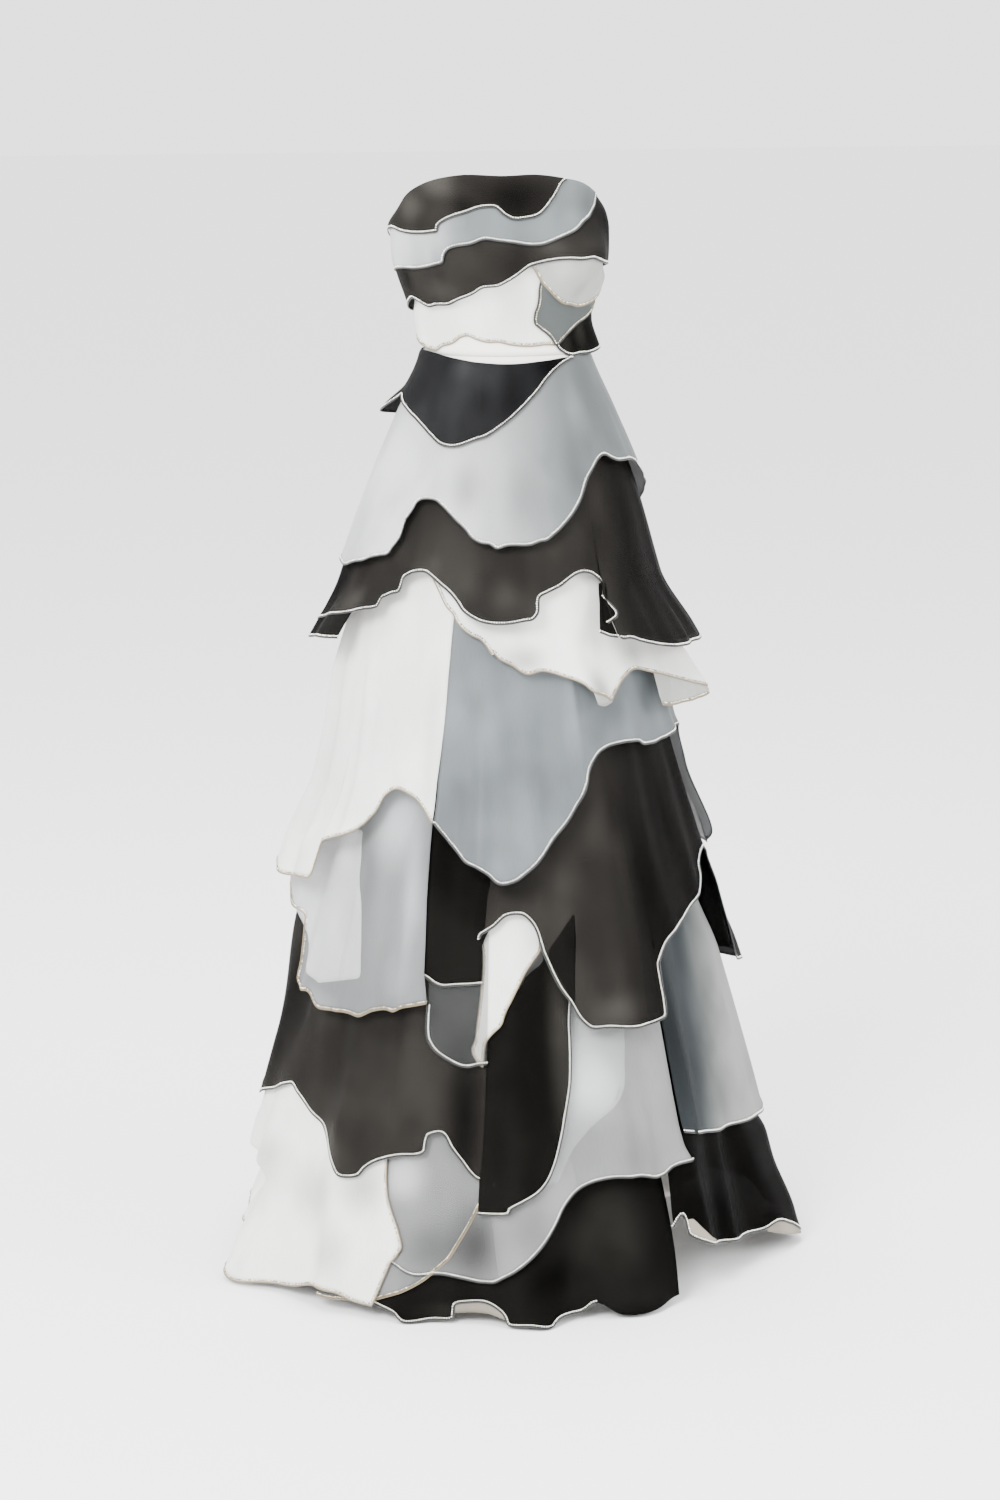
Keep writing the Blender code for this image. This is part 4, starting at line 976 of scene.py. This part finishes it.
# plies behind an outer layer, where the cloth lies double. "low" is their lower edge as (turn, height) marks,
# or else they stop "short" of the outer layer's edge, "high" is an upper edge under "top", and "deeper" is
# how much further in they lie. The chain follows the lower edge, or the side that "trimSide" names.
plies = {
    "bodiceTopPly": {
        "under": "bodiceBlackTop", "finish": "blackPly", "top": 0.192, "short": 0.004,
        "left": ((0.14, -27), (0.2, -22)), "right": ((0.14, 14), (0.2, 19))},
    "bodiceMiddleVeil": {
        "under": "bodiceBlackMiddle", "finish": "blackVeil", "top": 0.15, "short": 0.004,
        "left": ((0.05, -110), (0.15, -110)), "right": ((0.1, 2.0), (0.14, -4.5))},
    "bodiceMiddlePly": {
        "under": "bodiceBlackMiddle", "finish": "blackPly", "top": 0.19, "short": 0.004,
        "left": ((0.1, 56), (0.19, 50)), "right": ((0.05, 120), (0.2, 120))},
    "yokeBlackVeil": {
        "under": "yokeBlack", "finish": "blackVeil", "top": -0.012, "short": 0.004,
        "left": ((-0.1, -28), (0.0, -34)), "right": ((-0.1, 5), (-0.055, -8), (-0.012, 12))},
    "hipBlackPly": {
        "under": "hipBlack", "finish": "blackPly", "top": -0.112, "short": 0.008,
        "left": ((-0.315, 17.4), (-0.281, 19.9), (-0.236, 22.8), (-0.169, 29.1), (-0.11, 40.5)),
        "right": ((-0.36, 120), (-0.1, 120))},
    "hipBlackLeft": {
        "under": "hipBlack", "finish": "blackPly", "top": -0.2, "short": 0.006,
        "left": ((-0.36, -150), (-0.1, -150)), "right": ((-0.32, -82), (-0.2, -82))},
    "kneeWhitePatch": {
        "under": "kneeWhite", "finish": "whiteVeil", "top": -0.56, "deeper": -0.0013,
        "left": ((-0.76, -140), (-0.4, -140)),
        "right": ((-0.718, -58.3), (-0.68, -60.6), (-0.637, -64.1), (-0.593, -67.8), (-0.561, -70.3),
                  (-0.4, -82)),
        "low": ((-140, -0.69), (-106, -0.64), (-92, -0.69), (-84, -0.736), (-76.4, -0.744), (-67.6, -0.734),
                (-59.5, -0.724), (-57, -0.716))},
    "kneeBlackFold": {
        "under": "kneeBlack", "finish": "blackDense", "top": -0.644, "deeper": -0.0013,
        "left": ((-0.741, -0.7), (-0.73, -2.3), (-0.714, -4.2), (-0.7, -5.8), (-0.69, -6.8), (-0.682, -7.2),
                 (-0.675, -6.0), (-0.662, -3.0), (-0.644, 1.0)),
        "right": ((-0.745, -0.5), (-0.707, 0.3), (-0.672, 1.4), (-0.644, 1.6)),
        "low": ((-9, -0.741), (3, -0.741))},
    "kneeBlackPly": {
        "under": "kneeBlack", "finish": "blackPly", "top": -0.42, "short": 0.01,
        "left": ((-0.751, 20.2), (-0.671, 22.0), (-0.589, 22.0), (-0.519, 21.4), (-0.42, 17.5)),
        "right": ((-0.78, 120), (-0.4, 120))},
    "calfBlackLeft": {
        "under": "calfBlack", "finish": "blackPly", "top": -0.54, "short": 0.008,
        "left": ((-0.92, -150), (-0.5, -150)), "right": ((-0.87, -78), (-0.6, -84))},
    "calfBlackRight": {
        "under": "calfBlack", "finish": "blackPly", "top": -0.54, "short": 0.006,
        "left": ((-0.9, -36), (-0.6, -40)), "right": ((-0.95, -21.5), (-0.5, -21.5))},
    "calfUnder": {
        "under": "calfPale", "finish": "greyMist", "chain": "cream", "top": -0.8, "deeper": -0.0013,
        "left": ((-1.09, -60), (-0.7, -60)), "right": ((-0.974, -24.4), (-0.7, -24.4)),
        "low": ((-60, -1.097), (-50, -1.094), (-46.0, -1.089), (-40.8, -1.077), (-37.3, -1.066),
                (-35.5, -1.06), (-30.7, -1.036), (-26.5, -0.997), (-24.3, -0.974))},
    "calfPaleLow": {
        "under": "calfPale", "finish": "whitePale", "top": -1.028, "left": ((-1.09, -47.5), (-1.03, -45.0)),
        "right": ((-1.06, -35.6), (-1.036, -30.8), (-1.02, -29.5)), "paintedLightAndToneSpots": ((-36, -1.05, 9, 0.04, -0.45),),
        "low": ((-47.5, -1.09), (-46.0, -1.088), (-40.8, -1.076), (-37.3, -1.065), (-35.5, -1.059),
                (-30.7, -1.035), (-29, -1.03))},
    "calfPaleRight": {
        "under": "calfPale", "finish": "whiteMist", "top": -0.86, "short": 0.004, "deeper": -0.0013,
        "left": ((-1.054, -20.0), (-0.952, -22.5), (-0.7, -23)), "right": ((-0.95, -2.0), (-0.7, -12.0))},
    "calfPaleWedge": {
        "under": "calfPale", "finish": "whiteSheer", "top": -0.72, "deeper": -0.0021,
        "left": ((-0.95, -12), (-0.7, -12)),
        "right": ((-0.946, -6.6), (-0.914, -2.4), (-0.889, 3.0), (-0.866, 9.0), (-0.845, 12.2),
                  (-0.815, 13.3), (-0.781, 14.6), (-0.7, 15.4)),
        "paintedLightAndToneSpots": ((2, -0.845, 12, 0.05, 0.8),), "low": ((-14, -0.95), (-6, -0.948), (10, -0.946))},
    "hipTail": {
        "under": "hipBlack", "finish": "blackDense", "chain": "silver", "top": -0.29,
        "left": ((-0.35, -125), (-0.29, -125)), "right": ((-0.34, -77), (-0.29, -77)),
        "low": ((-125, -0.35), (-100, -0.34), (-90.9, -0.334), (-84.6, -0.332), (-77, -0.329))},
    "hipCurl": {
        "under": "hipBlack", "finish": "blackDense", "chain": "silver", "top": -0.275, "deeper": -0.0013,
        "trimSide": "right",
        "left": ((-0.306, 17.4), (-0.303, 17.2), (-0.3, 17.5), (-0.294, 18.2), (-0.288, 18.8), (-0.281, 19.6),
                 (-0.274, 20.2)),
        "right": ((-0.306, 18.6), (-0.305, 20.2), (-0.301, 22.9), (-0.296, 24.0), (-0.29, 23.5),
                  (-0.283, 22.1), (-0.277, 20.6), (-0.274, 20.4)),
        "low": ((17, -0.306), (19, -0.306), (24, -0.306))},
    "hipCurlFill": {
        "under": "hipBlack", "finish": "blackDense", "chain": "silver", "top": -0.262, "deeper": 0.0004,
        "left": ((-0.316, 14.2), (-0.302, 15.8), (-0.286, 18.0), (-0.278, 18.7), (-0.262, 19.8)),
        "right": ((-0.32, 20.7), (-0.262, 20.7)),
        "low": ((14.0, -0.314), (16.0, -0.317), (17.8, -0.32), (20.7, -0.322))},
    "hipWhiteTurnA": {
        "under": "hipWhite", "finish": "ivoryCup", "top": -0.36, "left": ((-0.399, 12.2), (-0.36, 11.4)),
        "right": ((-0.4, 18.0), (-0.36, 18.0)),
        "low": ((11.4, -0.39), (12.3, -0.399), (14.4, -0.401), (16.7, -0.399), (18.3, -0.396))},
    "hipWhiteTurnB": {
        "under": "hipWhite", "finish": "ivoryCup", "chain": "cream", "top": -0.355,
        "left": ((-0.411, 39.0), (-0.399, 38.8), (-0.386, 40.4), (-0.375, 42.2), (-0.35, 43)),
        "right": ((-0.41, 78), (-0.35, 78)),
        "low": ((38.5, -0.41), (45, -0.414), (53.3, -0.415), (63.7, -0.416), (74, -0.412))},
    "calfLiningFront": {
        "under": "calfSide", "finish": "beigeLining", "top": -1.014, "deeper": -0.0011, "short": 0.0028,
        "high": ((25.0, -1.015), (26.6, -1.015), (28.2, -1.027), (30.6, -1.041), (34.0, -1.05)),
        "left": ((-1.06, 25.1), (-1.01, 24.9)), "right": ((-1.06, 34.0), (-1.01, 34.0))},
    "calfLiningSide": {
        "under": "calfSide", "finish": "beigeLining", "top": -1.055, "left": ((-1.08, 57.4), (-1.05, 57.4)),
        "right": ((-1.1, 78), (-1.05, 78)),
        "low": ((57.0, -1.076), (59.4, -1.082), (63.9, -1.092), (71, -1.103), (78, -1.1))},
    "hemLining": {
        "under": "hemBlack", "finish": "beigeLining", "top": -1.07, "left": ((-1.104, -30.4), (-1.07, -30.4)),
        "right": ((-1.104, -17.0), (-1.07, -17.0)),
        "low": ((-31, -1.099), (-26, -1.097), (-22, -1.098), (-17, -1.104))},
}

# the waist seam dips at the front
waistLine = {"turn": (-180, -120, -95, -71, -58, -47, -38, -29, -20.6, -12, -4, 5, 14, 25, 34, 60, 120, 180),
             "height": (0.004, 0.004, 0.004, 0.002, -0.0014, -0.0039, -0.0061, -0.0073, -0.0082, -0.0083,
                        -0.0076, -0.0063, -0.0051, -0.0033, -0.0029, -0.0005, 0.002, 0.004)}

# how the skirt layers hang: where each stands at its seam, and the small waves and the turned lip at its edge
hang = {"gap": 0.0003, "slope": 0.12, "creaseLength": 0.06, "waves": (23, 37), "phase": 7.0, "hidden": 0.008,
        "fade": 0.050, "reach": 0.110, "past": 1.1, "lip": 0.0012, "lipLength": 0.014}
plyCut = {"column": 1.3, "spare": 6, "rounds": 12, "least": 0.004, "thin": 0.0008, "behind": 0.0007}
tongueCut = {"row": 0.006, "column": 1.2, "least": 0.05, "points": 600}
cover = {"step": 0.5, "near": 10, "none": 9.0}
coverTurns = np.arange(-180.0, 180.0, cover["step"])
covered = np.zeros(len(coverTurns))  # how far down the layers outside reach


def coverWith(turn, height):
    order = np.argsort(turn)
    low = np.interp(coverTurns, turn[order], height[order], left=cover["none"], right=cover["none"])
    near = np.stack([np.roll(low, n) for n in range(-cover["near"], cover["near"] + 1)]).min(0)
    np.minimum(covered, near, out=covered)


def skirtOff(piece, free, edgeTurn, edgeHeight):
    # free: how far down the layers outside reach, at coverTurns
    phase = hang["phase"] * piece["seam"]

    def off(turn, height):
        slope = piece.get("slope", hang["slope"])
        out = piece.get("base", hang["gap"]) + slope * (piece["seam"] - height)
        if "flare" in piece:
            out = out + piece["flare"] * ease((piece["flareFrom"] - height) / piece["flareLength"])
        out = out + standOut(piece, turn, height)
        for middle, wide, more, start in piece.get("creases", ()):
            fold = swell(turnFrom(turn, middle) / wide) * ease((start - height) / hang["creaseLength"])
            out = out + more * fold
        depth = piece.get("ripple", 0.0)
        if depth:
            wrapped = turnFrom(turn, 0)
            room = np.interp(wrapped, coverTurns, free, period=360)
            above = height - np.interp(wrapped, edgeTurn, edgeHeight)
            shown = ease((room - hang["hidden"] - height) / hang["fade"])
            shown = shown * ease(hang["past"] - above / hang["reach"])
            first, second = (np.sin(np.radians(turn) * waves + share * phase)
                             for waves, share in zip(hang["waves"], (1, 3)))
            wave = 0.5 + 0.25 * first + 0.25 * second
            out = out + shown * (depth * wave + hang["lip"] * ease(1 - above / hang["lipLength"]))
        return out
    return off


def addPly(name, ply, outer, node, outerOff, edgeTurn, edgeHeight):
    def low(turn):
        if "low" in ply:
            return marksAt(ply["low"], turn)
        return np.interp(turn, edgeTurn, edgeHeight) + ply["short"]

    def off(turn, height):
        return outerOff(turn, height) - plyCut["behind"] - ply.get("deeper", 0.0)

    def between(height, share):
        return marksAt(ply["left"], height) * (1 - share) + marksAt(ply["right"], height) * share

    reach = abs(ply["right"][0][1] - ply["left"][0][1])
    share = np.linspace(0, 1, int(reach / plyCut["column"]) + plyCut["spare"] + 1)
    bottom = np.full(len(share), ply["right"][0][0])
    for _ in range(plyCut["rounds"]):
        turn = between(bottom, share)
        bottom = 0.5 * bottom + 0.5 * np.minimum(low(turn), ply["top"] - plyCut["least"])
    high = np.minimum(ply["top"], neckAt(turn) - plyCut["least"])
    if "high" in ply:
        high = np.maximum(marksAt(ply["high"], turn), bottom + plyCut["thin"])
    rows = int((high - bottom).max() / cloth["row"]) + 2
    height = high[:, None] + (bottom - high)[:, None] * np.linspace(0, 1, rows + 1)[None, :]
    turn = between(height, share[:, None])
    path = turn[:, -1], height[:, -1]
    if ply.get("trimSide") == "right":
        path = turn[-1, ::-1], height[-1, ::-1]
    addCloth(name, node, ply, turn, height, off, path)


def addPlies(owner, outer, outerOff, edgeTurn, edgeHeight):
    for name, ply in plies.items():
        if ply["under"] == owner:
            addPly(name, ply, outer, nodeOf(owner, outer), outerOff, edgeTurn, edgeHeight)


def addBodice():
    for name, piece in bodice.items():
        def top(turn, limit=piece.get("top", math.inf)):
            return np.minimum(neckAt(turn), limit)

        off = bodiceOff(piece)
        addLayer(name, piece, top, off, cloth["bodiceRadius"])
        addPlies(name, piece, off, *finePath(piece))


def addSkirt():
    for name, piece in skirt.items():
        edgeTurn, edgeHeight = finePath(piece)
        off = skirtOff(piece, covered.copy(), edgeTurn, edgeHeight)
        radius = cloth["bodiceRadius" if piece["seam"] == 0 else "skirtRadius"]

        def top(turn, seam=piece["seam"]):
            if seam == 0:
                return hermite(turn, waistLine["turn"], waistLine["height"])
            return np.full(np.shape(turn), seam)

        addLayer(name, piece, top, off, radius)
        addPlies(name, piece, off, edgeTurn, edgeHeight)
        coverWith(edgeTurn, edgeHeight)
        if name == "kneeSmoke":
            addTongues()


def addTongues():
    for name, piece in tongues.items():
        def off(turn, height, seam=piece["seam"]):
            return hang["gap"] + hang["slope"] * (seam - height) + 0 * turn

        down = -np.asarray(piece["down"], float)
        at = np.linspace(down[0], down[-1], int((down[-1] - down[0]) / tongueCut["row"]) + 3)
        left = hermite(at, down, piece["left"])
        right = np.maximum(hermite(at, down, piece["right"]), left + tongueCut["least"])
        share = np.linspace(0, 1, int((right - left).max() / tongueCut["column"]) + 3)[:, None]
        turn = left[None, :] + (right - left)[None, :] * share
        height = np.broadcast_to(-at[None, :], turn.shape)
        fine = np.linspace(-piece["trimFrom"], down[-1], tongueCut["points"])
        sides = {side: hermite(fine, down, piece[side]) for side in ("left", "right")}
        path = sides["right"][::-1], -fine[::-1]
        if piece.get("trimSide") != "right":
            path = np.concatenate([sides["left"], path[0]]), np.concatenate([-fine, path[1]])
        addCloth(name, nodeOf(name, piece), piece, turn, height, off, path)


# foundation: a boned satin bodice and a satin underskirt
base = {"sink": 0.0016, "waist": 0.0003, "hem": -1.0, "step": 15}


def addFoundation():
    def under(turn, height):
        return 0 * turn + 0 * height - base["sink"]

    def ringAt(height):
        turns = tuple(range(-180, 180, base["step"]))
        return {"turn": turns, "height": len(turns) * (height,), "closed": True, "finish": "ivorySatin"}

    addLayer("bodiceBase", ringAt(base["waist"]), neckAt, under, cloth["bodiceRadius"])
    underskirt = {"node": "underskirt", **ringAt(base["hem"])}
    addLayer("satinUnderskirt", underskirt, lambda turn: 0.0 * turn, under, cloth["bodiceRadius"])


addBodice()
print("bodice ready")
addSkirt()
print("skirt ready")
addFoundation()
print("foundation ready,", made["stones"], "stones")

# what each sheet was cut to: a little more than it takes, for its ease
cutting = {"ease": 1.02, "leastShare": 0.301}
for sheet, flat, area, extras, piece in made["sheets"]:
    wide, long = (cutting["ease"] * side for side in flat)
    cut = min(cutting["ease"] * area, wide * long)
    cut = max(cut, cutting["leastShare"] * wide * long)

# a pale floor, an even sky and soft light from above the left; lamps are (place, size, power)
studio = {"floor": -1.1115, "reach": 40.0, "floorColour": (0.93, 0.93, 0.93, 1.0), "floorRough": 0.8,
          "sky": 2.5, "aim": (0, 0, -0.45)}
lamps = {"keyLight": ((-3.0, -3.0, 2.4), 2.2, 560), "fillLight": ((3.2, -3.0, 1.4), 2.4, 165),
         "topLight": ((0.0, 0.4, 3.6), 2.4, 180)}


def addStudio():
    mesh = bpy.data.meshes.new("paleFloor")
    r, z = studio["reach"], studio["floor"]
    mesh.from_pydata([(-r, -r, z), (r, -r, z), (r, r, z), (-r, r, z)], [], [(0, 1, 2, 3)])
    floor = bpy.data.objects.new("paleFloor", mesh)
    bpy.context.scene.collection.objects.link(floor)
    paint, tree, shader = newPaint("floorPaint")
    shader.inputs["Base Color"].default_value = studio["floorColour"]
    shader.inputs["Roughness"].default_value = studio["floorRough"]
    mesh.materials.append(paint)
    world = bpy.data.worlds.new("studioSky")
    world.use_nodes = True
    sky = world.node_tree.nodes["Background"]
    sky.inputs["Color"].default_value = (1, 1, 1, 1)
    sky.inputs["Strength"].default_value = studio["sky"]
    bpy.context.scene.world = world
    for name, (place, size, power) in lamps.items():
        light = bpy.data.lights.new(name, "AREA")
        light.shape = "DISK"
        light.size = size
        light.energy = power
        lookAt(bpy.data.objects.new(name, light), place, studio["aim"])


addStudio()
print("studio ready")
